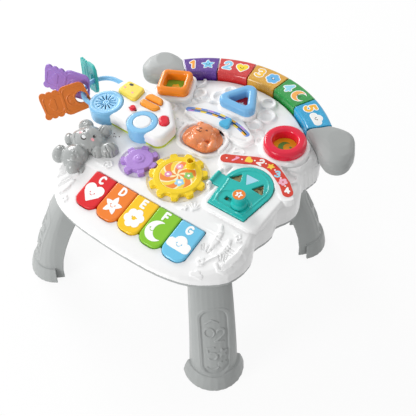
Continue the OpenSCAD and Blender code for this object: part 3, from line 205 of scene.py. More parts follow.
WHITE = plastic("white_moulding", "#F3F3F3", rough=0.3, coat=0.2, vary=0.012, grain=0.12)
GREY = plastic("grey_moulding", "#A6A9A8", rough=0.42, coat=0.08, vary=0.04, grain=0.5, grain_scale=1300)
LENS = plastic("clear_white", "#F1F4F6", rough=0.12, coat=0.8, vary=0.01, grain=0.05)
NUMBER = [glitter("glitter_purple", "#54238F", "#9A66CC"), glitter("glitter_red", "#CC1F22", "#EE6A60"),
          glitter("glitter_gold", "#D9A026", "#F6D277"), glitter("glitter_green", "#0F9438", "#5CC97A"),
          glitter("glitter_blue", "#08A0D2", "#63CCEE")]
PIANO = [plastic("piano_" + tone, hex_colour, rough=0.2, coat=0.6, grain=0.1) for tone, hex_colour in (
    ("red", "#DE1F27"), ("orange", "#F0812A"), ("yellow", "#F8C81C"), ("green", "#86C72B"), ("blue", "#71C6E9"))]
LILAC = plastic("gear_lilac", "#AE86D2", rough=0.27, coat=0.35)
YELLOW = plastic("gear_yellow", "#F6D322", rough=0.25, coat=0.35)
TEAL = plastic("door_teal", "#23B9B2", rough=0.24, coat=0.4)
PANE = plastic("pane_blue", "#A9DDF0", rough=0.08, coat=1.0, grain=0.02)
CARD = printed("picture_card", "#6B4526", "#E9C993", 90.0)
RING_ORANGE = plastic("ring_orange", "#F0871C", rough=0.22, coat=0.45)
RING_BLUE = plastic("ring_blue", "#79B9E8", rough=0.22, coat=0.45)
RING_RED = plastic("ring_red", "#E3173C", rough=0.2, coat=0.55)
FLOOR_GREEN = plastic("floor_green", "#86C53A", rough=0.4, coat=0.2)
FLOOR_RED = plastic("floor_red", "#C8232B", rough=0.4, coat=0.2)
FLOOR_YELLOW = plastic("floor_yellow", "#F2BE22", rough=0.4, coat=0.2)
LABEL_RED = plastic("label_red", "#D6402F", rough=0.38, coat=0.3)
SLIDER = plastic("slider_blue", "#4DB2DC", rough=0.22, coat=0.5)
PUPPY = plastic("puppy_orange", "#E58A55", rough=0.2, coat=0.6, glow=0.12)
LIME = plastic("base_lime", "#C5D62F", rough=0.3, coat=0.3)
BLUE = plastic("console_blue", "#84C2EA", rough=0.24, coat=0.4)
BUTTON_YELLOW = plastic("button_yellow", "#F6DE5C", rough=0.26, coat=0.4)
BUTTON_ORANGE = plastic("button_orange", "#F59B28", rough=0.26, coat=0.4)
BUTTON_RED = plastic("button_red", "#E0152F", rough=0.2, coat=0.6)
KEY_ORANGE = plastic("key_orange", "#D8742A", rough=0.36, coat=0.15)
KEY_PURPLE = plastic("key_purple", "#9A76C6", rough=0.36, coat=0.15)
KEY_TEAL = plastic("key_teal", "#36B5AE", rough=0.36, coat=0.15)
# Dark print, and painted shade for the small dots beside the cub
DARK_PRINT_AND_SHADE = plastic("dark_print_and_shade", "#2A2622", rough=0.35, coat=0.3)
PINK = plastic("pink_print", "#F2A7AE", rough=0.4, coat=0.2)
# White print, and the painted highlights in the cub's eyes
WHITE_PRINT_AND_HIGHLIGHT = plastic("white_print_and_highlight", "#FBFBFA", rough=0.4, coat=0.2, vary=0.01)
STEEL = metal("steel", "#B9BCC0")
BOARD = plastic("board_green", "#1E7A44", rough=0.35, coat=0.2)
CELL = plastic("cell_black", "#2B2C30", rough=0.3, coat=0.3)

# ------------------------------------------------------------------ meshes


def dress(piece, material, body):
    """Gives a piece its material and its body"""
    piece.data.materials.clear()
    piece.data.materials.append(material)
    piece.data.polygons.foreach_set("use_smooth", [True] * len(piece.data.polygons))
    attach(piece, body)
    return piece


def new_piece(name, data):
    """An object of a mesh, lamp or camera, in the scene"""
    piece = bpy.data.objects.new(name, data)
    scene.collection.objects.link(piece)
    return piece


def coords(mesh):
    """A mesh's points, in metres"""
    co = np.empty(len(mesh.vertices) * 3)
    mesh.vertices.foreach_get("co", co)
    return co.reshape(-1, 3)


def set_coords(mesh, co):
    """Moves a mesh's points"""
    mesh.vertices.foreach_set("co", co.ravel())
    mesh.update()


def normals(mesh):
    """The directions of a mesh's points"""
    no = np.empty(len(mesh.vertices) * 3)
    mesh.vertices.foreach_get("normal", no)
    return no.reshape(-1, 3)


# Each round of relax pulls the points in and pushes them back out
PULL, PUSH = 0.5, -0.53


def relax(mesh, rounds):
    """Rounds a mesh's edges and keeps its volume"""
    edges = np.empty(len(mesh.edges) * 2, dtype=np.int64)
    mesh.edges.foreach_get("vertices", edges)
    a, b = edges[0::2], edges[1::2]
    n = len(mesh.vertices)
    degree = np.maximum(1, np.bincount(a, minlength=n) + np.bincount(b, minlength=n))[:, None]
    co = coords(mesh)
    for _ in range(rounds):
        for factor in (PULL, PUSH):
            mean = np.stack([np.bincount(a, weights=co[b, k], minlength=n)
                             + np.bincount(b, weights=co[a, k], minlength=n) for k in range(3)], axis=1) / degree
            co += factor * (mean - co)
    set_coords(mesh, co)


def modify(piece, kind, **values):
    """Applies one modifier to a piece"""
    modifier = piece.modifiers.new(kind.lower(), kind)
    for key, value in values.items():
        setattr(modifier, key, value)
    graph = bpy.context.evaluated_depsgraph_get()
    mesh = bpy.data.meshes.new_from_object(piece.evaluated_get(graph))
    piece.modifiers.clear()
    piece.data = mesh


def soften(name, node, voxel, rounds, material, body, slot, relief=None, share=None):
    """A softly moulded copy of a CAD node, in its place. relief moves its points, share is what
    is left of its triangles"""
    source = bmesh.new()
    source.from_mesh(NODES[node].data)
    mesh = bpy.data.meshes.new(name)
    source.to_mesh(mesh)
    source.free()
    piece = new_piece(name, mesh)
    modify(piece, "REMESH", mode="VOXEL", voxel_size=voxel * MM)
    relax(piece.data, rounds)
    if relief:
        relief(piece.data)
    if share:
        modify(piece, "DECIMATE", ratio=share)
    dress(piece, material, body)
    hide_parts(node)
    return piece


# ------------------------------------------------------------------ flat shapes as distance functions of x and y


def line(points, r):
    """A stroke of radius r through points"""
    def f(x, y):
        best = np.full(x.shape, 1e9)
        for (ax, ay), (bx, by) in zip(points[:-1], points[1:]):
            dx, dy = bx - ax, by - ay
            t = np.clip(((x - ax) * dx + (y - ay) * dy) / max(1e-9, dx * dx + dy * dy), 0, 1)
            best = np.minimum(best, np.hypot(x - ax - t * dx, y - ay - t * dy))
        return best - r
    return f


def rim(shape, r):
    """A stroke of radius r along a shape's outline"""
    return lambda x, y: np.abs(shape(x, y)) - r


def disc(cx, cy, rx, ry=None):
    """A circle, or an ellipse where ry is given"""
    ry = ry or rx
    return lambda x, y: (np.hypot((x - cx) / rx, (y - cy) / ry) - 1) * min(rx, ry)


def slab(cx, cy, w, h, r):
    """A rectangle with corners of radius r"""
    def f(x, y):
        dx, dy = np.abs(x - cx) - w / 2 + r, np.abs(y - cy) - h / 2 + r
        return np.hypot(np.maximum(dx, 0), np.maximum(dy, 0)) + np.minimum(np.maximum(dx, dy), 0) - r
    return f


def join(*shapes):
    """What any of the shapes covers"""
    return lambda x, y: np.minimum.reduce([s(x, y) for s in shapes])


def both(*shapes):
    """What all of the shapes cover"""
    return lambda x, y: np.maximum.reduce([s(x, y) for s in shapes])


def cut(shape, *holes):
    """A shape without its holes"""
    return lambda x, y: np.maximum.reduce([shape(x, y)] + [-h(x, y) for h in holes])


def grow(shape, d):
    """A shape with its outline moved out by d"""
    return lambda x, y: shape(x, y) - d


def placed(shape, x0, y0, turn=0.0, size=1.0):
    """A shape turned, scaled and moved to a point"""
    c, s = math.cos(math.radians(turn)), math.sin(math.radians(turn))

    def f(x, y):
        u, v = (x - x0) / size, (y - y0) / size
        return shape(u * c + v * s, v * c - u * s) * size
    return f


def star(points, outer, inner):
    """A star whose points are slightly rounded"""
    def f(x, y):
        a = np.abs((np.arctan2(x, y) * points / (2 * math.pi)) % 1 - 0.5) * 2
        return np.hypot(x, y) - inner - (outer - inner) * a ** 1.3
    return f


def heart(s):
    """A heart about as wide as s"""
    return join(disc(-0.26 * s, 0.2 * s, 0.31 * s), disc(0.26 * s, 0.2 * s, 0.31 * s),
                both(placed(slab(0, 0, 0.72 * s, 0.72 * s, 0.05 * s), 0, -0.05 * s, 45),
                     lambda x, y: y - 0.14 * s))


def moon(s):
    """A crescent about as high as s"""
    return cut(disc(0, 0, s * 0.55), disc(s * 0.28, s * 0.1, s * 0.44))


def flower(petals, s):
    """Round petals about a point"""
    return join(*[disc(0.34 * s * math.cos(2 * math.pi * k / petals + 0.3),
                       0.34 * s * math.sin(2 * math.pi * k / petals + 0.3), 0.24 * s)
                  for k in range(petals)])


def cloud(s):
    """A cloud of three lobes on a flat base"""
    return join(disc(-0.38 * s, -0.05 * s, 0.22 * s), disc(0, 0.1 * s, 0.32 * s),
                disc(0.38 * s, -0.04 * s, 0.24 * s), slab(0, -0.15 * s, 0.85 * s, 0.25 * s, 0.12 * s))


def arc(cx, cy, rx, ry, a0, a1, steps=12):
    """Points of an elliptic arc, by degrees"""
    return [(cx + rx * math.cos(math.radians(a0 + (a1 - a0) * k / steps)),
             cy + ry * math.sin(math.radians(a0 + (a1 - a0) * k / steps))) for k in range(steps + 1)]


# Strokes of each digit and letter in a box one unit high
GLYPHS = {
    "1": [[(0.1, 0.78), (0.34, 1), (0.34, 0)]],
    "2": [arc(0.32, 0.7, 0.3, 0.3, 170, -35) + [(0, 0), (0.64, 0)]],
    "3": [arc(0.28, 0.75, 0.28, 0.25, 150, -90) + arc(0.28, 0.25, 0.33, 0.26, 90, -150)],
    "4": [[(0.46, 0), (0.46, 1), (0, 0.32), (0.66, 0.32)]],
    "5": [[(0.58, 1), (0.1, 1), (0.06, 0.58)] + arc(0.28, 0.31, 0.33, 0.32, 110, -150)],
    "C": [arc(0.36, 0.5, 0.36, 0.5, 50, 310)],
    "D": [[(0, 0), (0, 1), (0.22, 1)] + arc(0.22, 0.5, 0.44, 0.5, 90, -90) + [(0, 0)]],
    "E": [[(0.52, 1), (0, 1), (0, 0), (0.52, 0)], [(0, 0.52), (0.44, 0.52)]],
    "F": [[(0.54, 1), (0, 1), (0, 0)], [(0, 0.5), (0.44, 0.5)]],
    "G": [arc(0.38, 0.5, 0.38, 0.5, 50, 345) + [(0.76, 0.46), (0.44, 0.46)]],
}


def glyph(char, height, weight):
    """A rounded letter or digit of that height, centred"""
    strokes = [line([(px * height, py * height) for px, py in s], weight) for s in GLYPHS[char]]
    return placed(join(*strokes), -0.33 * height, -0.5 * height)


def smile(spread, eye_y, eye_w, eye_h, mouth, weight):
    """Two eyes and a mouth; mouth is its height, width and depth"""
    mouth_y, mouth_w, mouth_h = mouth
    return join(disc(-spread, eye_y, eye_w, eye_h), disc(spread, eye_y, eye_w, eye_h),
                line(arc(0, mouth_y, mouth_w, mouth_h, 205, 335), weight))


def around(x, y, reach):
    """The square box about a point"""
    return x - reach, y - reach, x + reach, y + reach


# ------------------------------------------------------------------ printed plates, also used for painted shade and painted highlights


def contour(shape, box, step):
    """Points, faces and border edges of the area where a shape's distance is below zero"""
    x0, y0, x1, y1 = box
    nx, ny = int((x1 - x0) / step) + 2, int((y1 - y0) / step) + 2
    xs, ys = x0 + step * np.arange(nx), y0 + step * np.arange(ny)
    gx, gy = np.meshgrid(xs, ys, indexing="ij")
    v = shape(gx, gy)
    # No grid point lies on the outline, and the box's own edge is outside
    v = np.where(np.abs(v) < 1e-5, 1e-5, v)
    v[0, :] = v[-1, :] = v[:, 0] = v[:, -1] = 1.0
    inside = v < 0
    ids, points = {}, []

    def corner(i, j):
        key = (0, i, j)
        if key not in ids:
            ids[key] = len(points)
            points.append((xs[i], ys[j]))
        return ids[key]

    def crossing(i, j, k, m):
        if (k, m) < (i, j):
            i, j, k, m = k, m, i, j
        key = (1, i, j, k, m)
        if key not in ids:
            t = v[i, j] / (v[i, j] - v[k, m])
            ids[key] = len(points)
            points.append((xs[i] + t * (xs[k] - xs[i]), ys[j] + t * (ys[m] - ys[j])))
        return ids[key]

    faces, border = [], []
    mixed = inside[:-1, :-1] | inside[1:, :-1] | inside[1:, 1:] | inside[:-1, 1:]
    for i, j in np.argwhere(mixed):
        cell = [(i, j), (i + 1, j), (i + 1, j + 1), (i, j + 1)]
        loop, outs = [], []
        for k in range(4):
            p, q = cell[k], cell[(k + 1) % 4]
            if inside[p]:
                loop.append(corner(*p))
            if inside[p] != inside[q]:
                e = crossing(*p, *q)
                loop.append(e)
                outs.append((e, bool(inside[p])))
        faces.append(loop)
        for k, (e, leaving) in enumerate(outs):
            if leaving:
                border.append((e, outs[(k + 1) % len(outs)][0]))
    return np.array(points), faces, border


def decal(name, shape, box, where, material, body, z=0.0, high=0.4, deep=0.6, step=0.5, onto=None):
    """A thin plate with a shape's outline, from deep below to high above the height z, or above
    and below the surface of another piece. step is the spacing of its points"""
    points, faces, border = contour(shape, box, step)
    n = len(points)
    base = np.full(n, z, dtype=float) if onto is None else drape(points, where, onto)
    top = np.column_stack([points, base + high])
    low = np.column_stack([points, base - deep])
    border_ids = sorted({i for e in border for i in e})
    index = {i: n + k for k, i in enumerate(border_ids)}
    verts = apply(where, np.vstack([top, low[border_ids]]))
    walls = [[b, a, index[a], index[b]] for a, b in border]
    mesh = bpy.data.meshes.new(name)
    mesh.from_pydata(verts.tolist(), [], faces + walls)
    mesh.update()
    return dress(new_piece(name, mesh), material, body)


# Height above a frame's origin from which drape looks down
DRAPE_FROM = 80.0


def drape(points, where, onto):
    """Height of another piece's surface under each point, in the frame where"""
    tree = BVHTree.FromPolygons([tuple(v) for v in coords(onto.data)],
                                [tuple(p.vertices) for p in onto.data.polygons])
    down = (where.to_3x3() @ Vector((0, 0, -1))).normalized()
    inverse = where.inverted()
    out = np.zeros(len(points))
    for k, (x, y) in enumerate(points):
        hit = tree.ray_cast(where @ Vector((x, y, DRAPE_FROM)), down)[0]
        out[k] = (inverse @ hit).z if hit is not None else np.nan
    good = ~np.isnan(out)
    out[~good] = out[good].min() if good.any() else 0.0
    return out


# ------------------------------------------------------------------ white housing and its relief

SQUARE_AT = (-134.0, 158.0)
TRIANGLE_AT = (0.0, 187.0)
ROUND_AT = (127.0, 140.0)


def tuft(x0, y0, turn, size, blades):
    """A tuft of grass blades"""
    strokes = []
    for k in range(blades):
        side = k - (blades - 1) / 2
        a = math.radians(turn + side * 22)
        reach = size * (1.0 - 0.13 * abs(side))
        strokes.append(line([(x0, y0), (x0 + reach * 0.55 * math.cos(a), y0 + reach * 0.55 * math.sin(a)),
                             (x0 + reach * math.cos(a + 0.14), y0 + reach * math.sin(a + 0.14))], size * 0.055))
    return join(*strokes)


def ruffle(cx, cy, r, a0, a1, n, bump):
    """Lobes of a cloud along an arc"""
    spots = arc(cx, cy, r, r, a0, a1, n - 1)
    return join(*[disc(x, y, bump * (1 + 0.18 * (k % 2))) for k, (x, y) in enumerate(spots)])


def leaf(points, width):
    """A long leaf that narrows towards both ends of its spine"""
    def breadth(k):
        return max(0.6, width * math.sin(math.pi * k / (len(points) + 0.2)))

    parts = [disc(x, y, breadth(k + 0.6)) for k, (x, y) in enumerate(points)]
    spans = [line(points[k:k + 2], breadth(k + 1.1)) for k in range(len(points) - 1)]
    return join(*parts, *spans)


# Relief is a list of shapes, each with its height and the width of its rounded edge. The marks
# are sunk by the same rule
FRILLS = [
    (rim(ruffle(*SQUARE_AT, 49, -66, 66, 4, 12), 3.0), 4.6, 3.0),
    (rim(ruffle(*TRIANGLE_AT, 52, -28, 46, 3, 13), 3.0), 4.6, 3.0),
    (rim(ruffle(*TRIANGLE_AT, 52, 148, 204, 3, 12), 3.0), 4.2, 3.0),
    (rim(ruffle(*ROUND_AT, 49, 116, 184, 3, 9), 2.4), 3.0, 2.4),
]
PANEL_RELIEF = [
    (line([(157, 106), (168, 112), (175, 124), (177, 138), (174, 150)], 4.2), 5.0, 3.0),
    (line([(164, 100), (178, 103), (184, 92), (180, 84)], 3.0), 3.4, 2.4),
    (join(disc(-66, 85, 15), disc(-80, 93, 8), disc(-55, 70, 10)), 3.2, 2.0),
    (join(disc(30, 89, 14), disc(22, 104, 9), disc(37, 76, 8)), 3.2, 2.0),
    (rim(placed(flower(5, 15), -114, -62), 1.0), 1.6, 1.2),
    (placed(star(5, 7, 3.4), 60, -62, 12), 1.5, 1.0),
    (tuft(74, -60, 100, 18, 5), 1.5, 1.0),
    (placed(cloud(20), -72, 172, 10), 2.0, 1.6),
    (placed(cloud(18), 66, 152, -8), 2.0, 1.6),
    (placed(cloud(15), -40, 182, 0), 1.6, 1.4),
    (line(arc(60, 96, 10, 5, 200, -20), 1.2), 1.4, 0.9),
    (line([(53, 86), (60, 93)], 1.2), 1.4, 0.9),
]
PANEL_MARKS = [
    (join(disc(-68, 74, 2.1), disc(-63, 81, 2.4), disc(-65, 92, 2.2), disc(-82, 96, 2.0)), 2.4, 1.4),
    (join(disc(22, 80, 2.4), disc(24, 91, 2.6), disc(19, 104, 2.0)), 2.4, 1.4),
    (line([(-74, 119), (-43, 114.6), (4, 114.6), (46, 114), (60, 118)], 0.9), 1.6, 1.2),
]

DECK_RELIEF = [
    (leaf([(134, 24), (140, 14), (142, 4), (142, -8), (143, -20)], 5.0), 1.8, 1.2),
    (leaf([(162, 8), (165, -1), (164, -10), (161, -18)], 4.4), 1.8, 1.2),
    (leaf([(176, -30), (184, -20), (188, -6), (187, 8)], 6.0), 2.4, 1.6),
    (line([(166, -37), (176, -44), (184, -42), (190, -28)], 2.4), 2.4, 1.6),
    (line([(149, -44), (153, -34), (160, -24)], 1.3), 1.6, 1.0),
    (placed(flower(6, 13), 143, -46, 10), 1.9, 1.2),
    (line([(165, 22), (169, 27), (173, 22), (169, 18), (172, 13), (178, 17)], 1.2), 1.5, 0.9),
    (placed(cloud(18), 150, -68, 10), 1.6, 1.3),
    (leaf([(-182, -44), (-180, -34), (-174, -24), (-164, -16)], 6.5), 2.4, 1.6),
    (leaf([(-168, -58), (-164, -46), (-158, -34), (-150, -24)], 6.0), 2.4, 1.6),
    (leaf([(-156, -72), (-151, -62), (-148, -50), (-146, -38)], 5.0), 2.2, 1.6),
    (placed(flower(5, 13), -136, -74), 1.5, 1.3),
]
DECK_MARKS = [
    (line([(141, 3.5), (151, 3.6)], 0.6), 1.4, 0.9), (line([(141.5, -1), (151.5, -1)], 0.6), 1.4, 0.9),
    (line([(165, -1.5), (179, -2)], 0.6), 1.4, 0.9), (line([(165, -6.5), (180, -8)], 0.6), 1.4, 0.9),
    (line([(167, -11), (179, -13)], 0.6), 1.4, 0.9),
    (join(line([(126, -19), (132, -27)], 1.0), line([(129, -16), (135, -26)], 1.1),
          line([(138, -15), (140, -26)], 1.2), line([(146, -18), (144, -27)], 1.0)), 1.9, 1.1),
    (join(line([(160, -20), (168, -29)], 1.1), line([(166, -18), (171, -29)], 1.2),
          line([(170, -15), (174, -28)], 1.2), line([(174, -14), (177, -27)], 1.1)), 1.9, 1.1),
    (line([(-178, -38), (-168, -22)], 0.7), 1.4, 0.9), (line([(-163, -50), (-153, -30)], 0.7), 1.4, 0.9),
]


def profile(d, edge):
    """Rounded step: 0 outside a shape, 1 inside it"""
    t = np.clip(0.5 - d / edge, 0, 1)
    return t * t * (3 - 2 * t)


# Over this much more than its least facing, a surface takes on its full relief
FACING_FADE = 0.35
ANY_HEIGHT = (-1e3, 1e3)


def carve(mesh, where, raised, sunk, face, heights=ANY_HEIGHT, mask=None, outward=False):
    """Lifts and sinks a mesh's surface by shapes seen along the z axis of a frame, where the surface
    faces that axis by at least face. It moves along the axis, or outward along its own normals"""
    co, no = coords(mesh), normals(mesh)
    local = apply(where.inverted(), co)
    up = np.array(where.to_3x3()) @ np.array([0, 0, 1.0])
    up /= np.linalg.norm(up)
    facing = np.clip((no @ up - face) / FACING_FADE, 0, 1)
    shown = (facing > 0) & (local[:, 2] > heights[0]) & (local[:, 2] < heights[1])
    if mask is not None:
        shown &= mask(local)
    x, y = local[shown, 0], local[shown, 1]
    lift, sink = np.zeros(len(x)), np.zeros(len(x))
    for shape, height, edge in raised:
        lift = np.maximum(lift, height * profile(shape(x, y), edge))
    for shape, depth, edge in sunk:
        sink = np.maximum(sink, depth * profile(shape(x, y), edge))
    way = no[shown] if outward else up
    co[shown] += ((lift - sink) * facing[shown])[:, None] * way * MM
    set_coords(mesh, co)


# Painted shade: dark dots beside the cub, where small holes show only as shade
SHADE_DOTS = ((-176, 2.4), (-167, 4.7), (-157, 3), (-166, -8.4), (-149, -2), (-144, 2.1), (-153, -3.1))
PLEATS = [(line([(y, -14 - abs(y - 118) * 0.12), (y + 4, -58)], 2.2), 1.3, 4.0) for y in range(92, 160, 10)]
# The panel seen from its right end, with y to the right and z up
RIGHT_END = PANEL @ Matrix(((0, 0, 1, 0), (1, 0, 0, 0), (0, 1, 0, 0), (0, 0, 0, 1)))
SHELL_FACE = 0.55
# Lowest and highest points of the shell that each relief reaches; the frills stay below the collars
PANEL_HEIGHTS, FRILL_HEIGHTS, DECK_HEIGHTS, END_REACH = (-14, 17), (-14, 5), (-9, 17), (150, 260)
KEYBOARD_HALF, KEYBOARD_FRONT = 126, -74


def behind_deck(p):
    """Which points lie on the panel's own part of the shell"""
    return p[:, 1] > PIANO_Y + 3


def off_keyboard(p):
    """Which points lie beside or in front of the piano keys"""
    return (np.abs(p[:, 0]) > KEYBOARD_HALF) | (p[:, 1] < KEYBOARD_FRONT)


def shell_relief(mesh):
    """Clouds and grass on the panel, leaves on the deck and pleats at the right end"""
    carve(mesh, PANEL, PANEL_RELIEF, PANEL_MARKS, SHELL_FACE, PANEL_HEIGHTS, behind_deck)
    carve(mesh, PANEL, FRILLS, (), SHELL_FACE, FRILL_HEIGHTS)
    carve(mesh, DECK, DECK_RELIEF, DECK_MARKS, SHELL_FACE, DECK_HEIGHTS, off_keyboard)
    carve(mesh, RIGHT_END, PLEATS, (), SHELL_FACE, END_REACH, outward=True)


soften("shell_white", "top_shell", 1.1, 9, WHITE, "housing", "shell_white", shell_relief, 0.45)

# Painted shade: dark discs put where the small holes would be shaded
for k, (x, y) in enumerate(SHADE_DOTS):
    decal(f"shell_hole_shade_{k}", disc(x, y, 1.1), around(x, y, 2), PANEL, DARK_PRINT_AND_SHADE, "housing", 0.0, 0.2, 0.3, 0.3)

# ------------------------------------------------------------------ legs

# Which way each leg's outer face looks, and how far its foot stands from the middle
LEGS = {"leg_front_right": (1, -1, 192, -157), "leg_front_left": (-1, -1, 192, -157),
        "leg_back_right": (1, 1, 160, 181), "leg_back_left": (-1, 1, 160, 181)}
LEG_PANEL = slab(0, 94, 46, 120, 17)
LEG_MARKS = join(placed(glyph("5", 24, 1.9), -6, 76, 14), placed(glyph("2", 22, 1.9), 9, 110, -12),
                 rim(disc(-9, 116, 8), 1.4), placed(star(5, 10, 4.6), 11, 76, 8), placed(heart(14), 10, 52, -10),
                 line(arc(-6, 50, 10, 7, 200, 340), 1.3), line([(-14, 132), (-4, 138), (6, 133)], 1.3))
LEG_SUNK = [(LEG_PANEL, 3.0, 1.4)]
LEG_RAISED = [(both(LEG_PANEL, LEG_MARKS), 1.9, 1.1), (rim(grow(LEG_PANEL, 4), 1.2), 0.8, 1.2)]
LEG_FACE = 0.2


def leg_relief(side, end, foot_x, foot_y):
    """A sunk panel with raised marks on the outer face of one leg"""
    out = math.degrees(math.atan2(end, side))
    where = (Matrix.Scale(MM, 4) @ Matrix.Translation((STAND[0] + side * foot_x, STAND[1] + foot_y, 0))
             @ turned(out + 90, "Z") @ turned(90, "X"))

    def relief(mesh):
        carve(mesh, where, (), LEG_SUNK, LEG_FACE, outward=True)
        carve(mesh, where, LEG_RAISED, (), LEG_FACE, outward=True)
    return relief


for name, spot in LEGS.items():
    soften(name + "_moulded", name, 1.15, 26, GREY, "housing", "leg_grey", leg_relief(*spot))

# ------------------------------------------------------------------ grip

BULB_END, BULB_WAY, BULB_SQUEEZE, BULB_KEPT = (-187.0, 213.0), (-0.532, -0.847), 0.78, 8


def shorten_bulb(mesh):
    """The left bulb's far end is blunter than the right one's"""
    local = apply(PANEL.inverted(), coords(mesh))
    t = (local[:, 0] - BULB_END[0]) * BULB_WAY[0] + (local[:, 1] - BULB_END[1]) * BULB_WAY[1]
    back = np.maximum(0, t - BULB_KEPT) * (BULB_SQUEEZE - 1)
    local[:, 0] += back * BULB_WAY[0]
    local[:, 1] += back * BULB_WAY[1]
    set_coords(mesh, apply(PANEL, local))


soften("bulb_left", "grip_cap_left", 1.5, 14, GREY, "housing", "leg_grey", shorten_bulb)
soften("bulb_right", "grip_cap_right", 1.5, 14, GREY, "housing", "leg_grey")

# The number keys stand in a ring about (0, GRIP_Y), a turn of NUMBER_PITCH apart
GRIP_Y, GRIP_R, NUMBER_TOP, NUMBER_PITCH = 57.0, 218.0, 17.0, 18.0
NUMBER_AREA = (-32, -17, 32, 17)
DIGIT_AT, MOTIF_AT, MOTIF_SIZE, BORDER = (-16, 1), (13, 0), 1.2, 1.7
NUMBER_FACE = placed(smile(3, 1, 1.0, 1.3, (0, 2.2, 2), 0.45), MOTIF_AT[0], -0.5)
NUMBER_KEYS = (("purple", "#F2A33A", star(5, 10.5, 5.2), "#7CC8EC"), ("red", "#8FD0EE", heart(17), "#F7D93B"),
               ("gold", "#F7C64B", flower(6, 19), "#6CB7EA"), ("green", "#9ADCF0", moon(20), "#F6B05A"),
               ("blue", "#F5B93C", cloud(21), "#F4F4F2"))
for i, (tone, digit_tone, motif, motif_tone) in enumerate(NUMBER_KEYS):
    body, label = f"number_key_{i + 1}", f"number_{i + 1}_"
    soften(label + "cap", body, 0.9, 24, NUMBER[i], body, "number_" + tone)
    where = at(at(PANEL, 0, GRIP_Y, 0, -(i - 2) * NUMBER_PITCH), 0, GRIP_R)
    digit = placed(glyph(str(i + 1), 19, 2.6), *DIGIT_AT)
    motif = placed(motif, *MOTIF_AT, 0, MOTIF_SIZE)
    for part, shape, material, high, deep, step in (
            ("border", grow(join(digit, motif), BORDER), WHITE_PRINT_AND_HIGHLIGHT, 0.15, 0.5, 0.5),
            ("digit", digit, ink(f"digit_{i + 1}", digit_tone), 0.3, 0.2, 0.5),
            ("motif", motif, ink(f"motif_{i + 1}", motif_tone), 0.3, 0.2, 0.5),
            ("face", NUMBER_FACE, DARK_PRINT_AND_SHADE, 0.42, 0.1, 0.3)):
        decal(label + part, shape, NUMBER_AREA, where, material, body, NUMBER_TOP, high, deep, step)

# ------------------------------------------------------------------ piano keys

PIANO_TOP, PIANO_AREA, LETTER_Y, PIANO_MOTIF_Y, PIANO_FACE_Y = 4.5, (-22, -62, 22, -2), -11, -41, -42
PIANO_FACE = smile(4.6, 2, 1.2, 1.6, (0.5, 3.4, 3), 0.6)
# Each key's slot, letter and motif, and where the motif's face is
PIANO_KEYS = (("red", "C", placed(heart(34), 0, 1), 0), ("orange", "D", star(5, 18, 9.2), 0),
              ("yellow", "E", flower(6, 32), 0), ("green", "F", moon(35), -8), ("blue", "G", cloud(38), 0))
for i, (tone, letter, motif, face_x) in enumerate(PIANO_KEYS):
    body = f"piano_key_{i + 1}"
    soften(f"piano_{i + 1}_cap", body, 0.85, 16, PIANO[i], body, "piano_" + tone)
    marks = join(placed(glyph(letter, 13.5, 2.0), 0, LETTER_Y), placed(motif, 0, PIANO_MOTIF_Y))
    decal(f"piano_{i + 1}_print", cut(marks, placed(PIANO_FACE, face_x, PIANO_FACE_Y)), PIANO_AREA,
          at(DECK, (i - 2) * PIANO_PITCH, 0), WHITE_PRINT_AND_HIGHLIGHT, body, PIANO_TOP, 0.25, 0.4)

# ------------------------------------------------------------------ gears

soften("gear_yellow_wheel", "gear_large", 0.8, 6, YELLOW, "gear_large", "gear_yellow")
soften("gear_lilac_wheel", "gear_small", 0.8, 6, LILAC, "gear_small", "gear_lilac")
GEAR_AT, GEAR_TOP, CRANK_AT = (9.0, -16.0), 7.5, (6, 30)
# The round print leaves the crank's foot free
STICKER = cut(disc(0, 0, 32), disc(*CRANK_AT, 9.6))
STICKER_INNER, STICKER_DISC = grow(STICKER, -0.6), disc(0, 0, 31.4)


def swirl(arms, phase):
    """Bent rays about the middle"""
    return lambda x, y: 9 * np.sin(arms * (np.arctan2(y, x) + 0.035 * np.hypot(x, y)) + phase)


def on_gear(name, shape, material, high, deep, step):
    """A print on the large gear"""
    decal(name, shape, around(0, 0, 33), at(PANEL, *GEAR_AT), material, "gear_large", GEAR_TOP, high, deep, step)


on_gear("gear_disc_cream", STICKER, ink("cream_print", "#FBF0BE", coat=0.3), 0.12, 0.3, 0.8)
on_gear("gear_disc_orange", both(STICKER_INNER, swirl(6, 0.4), cut(STICKER_DISC, disc(0, 0, 2.5))),
        ink("orange_print", "#F08A33", coat=0.3), 0.25, 0.2, 0.6)
on_gear("gear_disc_yellow", both(STICKER_INNER, swirl(6, 2.6), cut(STICKER_DISC, disc(0, 0, 14))),
        ink("yellow_print", "#F6D544", coat=0.3), 0.2, 0.2, 0.6)
GEAR_SPOTS = ((-15, -8, "#E58FB8", disc(0, 0, 6.4), star(5, 3.6, 1.8)),
              (13, -12, "#9FD4EE", flower(5, 15), heart(6.4)),
              (-9, 17, "#F0A0B8", disc(0, 0, 6.4), star(4, 3.8, 1.6)),
              (17, 9, "#8FC96A", flower(5, 15), disc(0, 0, 2.4)))
for k, (x, y, tone, spot, mark) in enumerate(GEAR_SPOTS):
    on_gear(f"gear_spot_{k}", placed(spot, x, y), ink(f"spot_{k}", tone), 0.34, 0.1, 0.5)
    on_gear(f"gear_spot_mark_{k}", placed(mark, x, y), WHITE_PRINT_AND_HIGHLIGHT, 0.46, 0.1, 0.4)

# ------------------------------------------------------------------ door

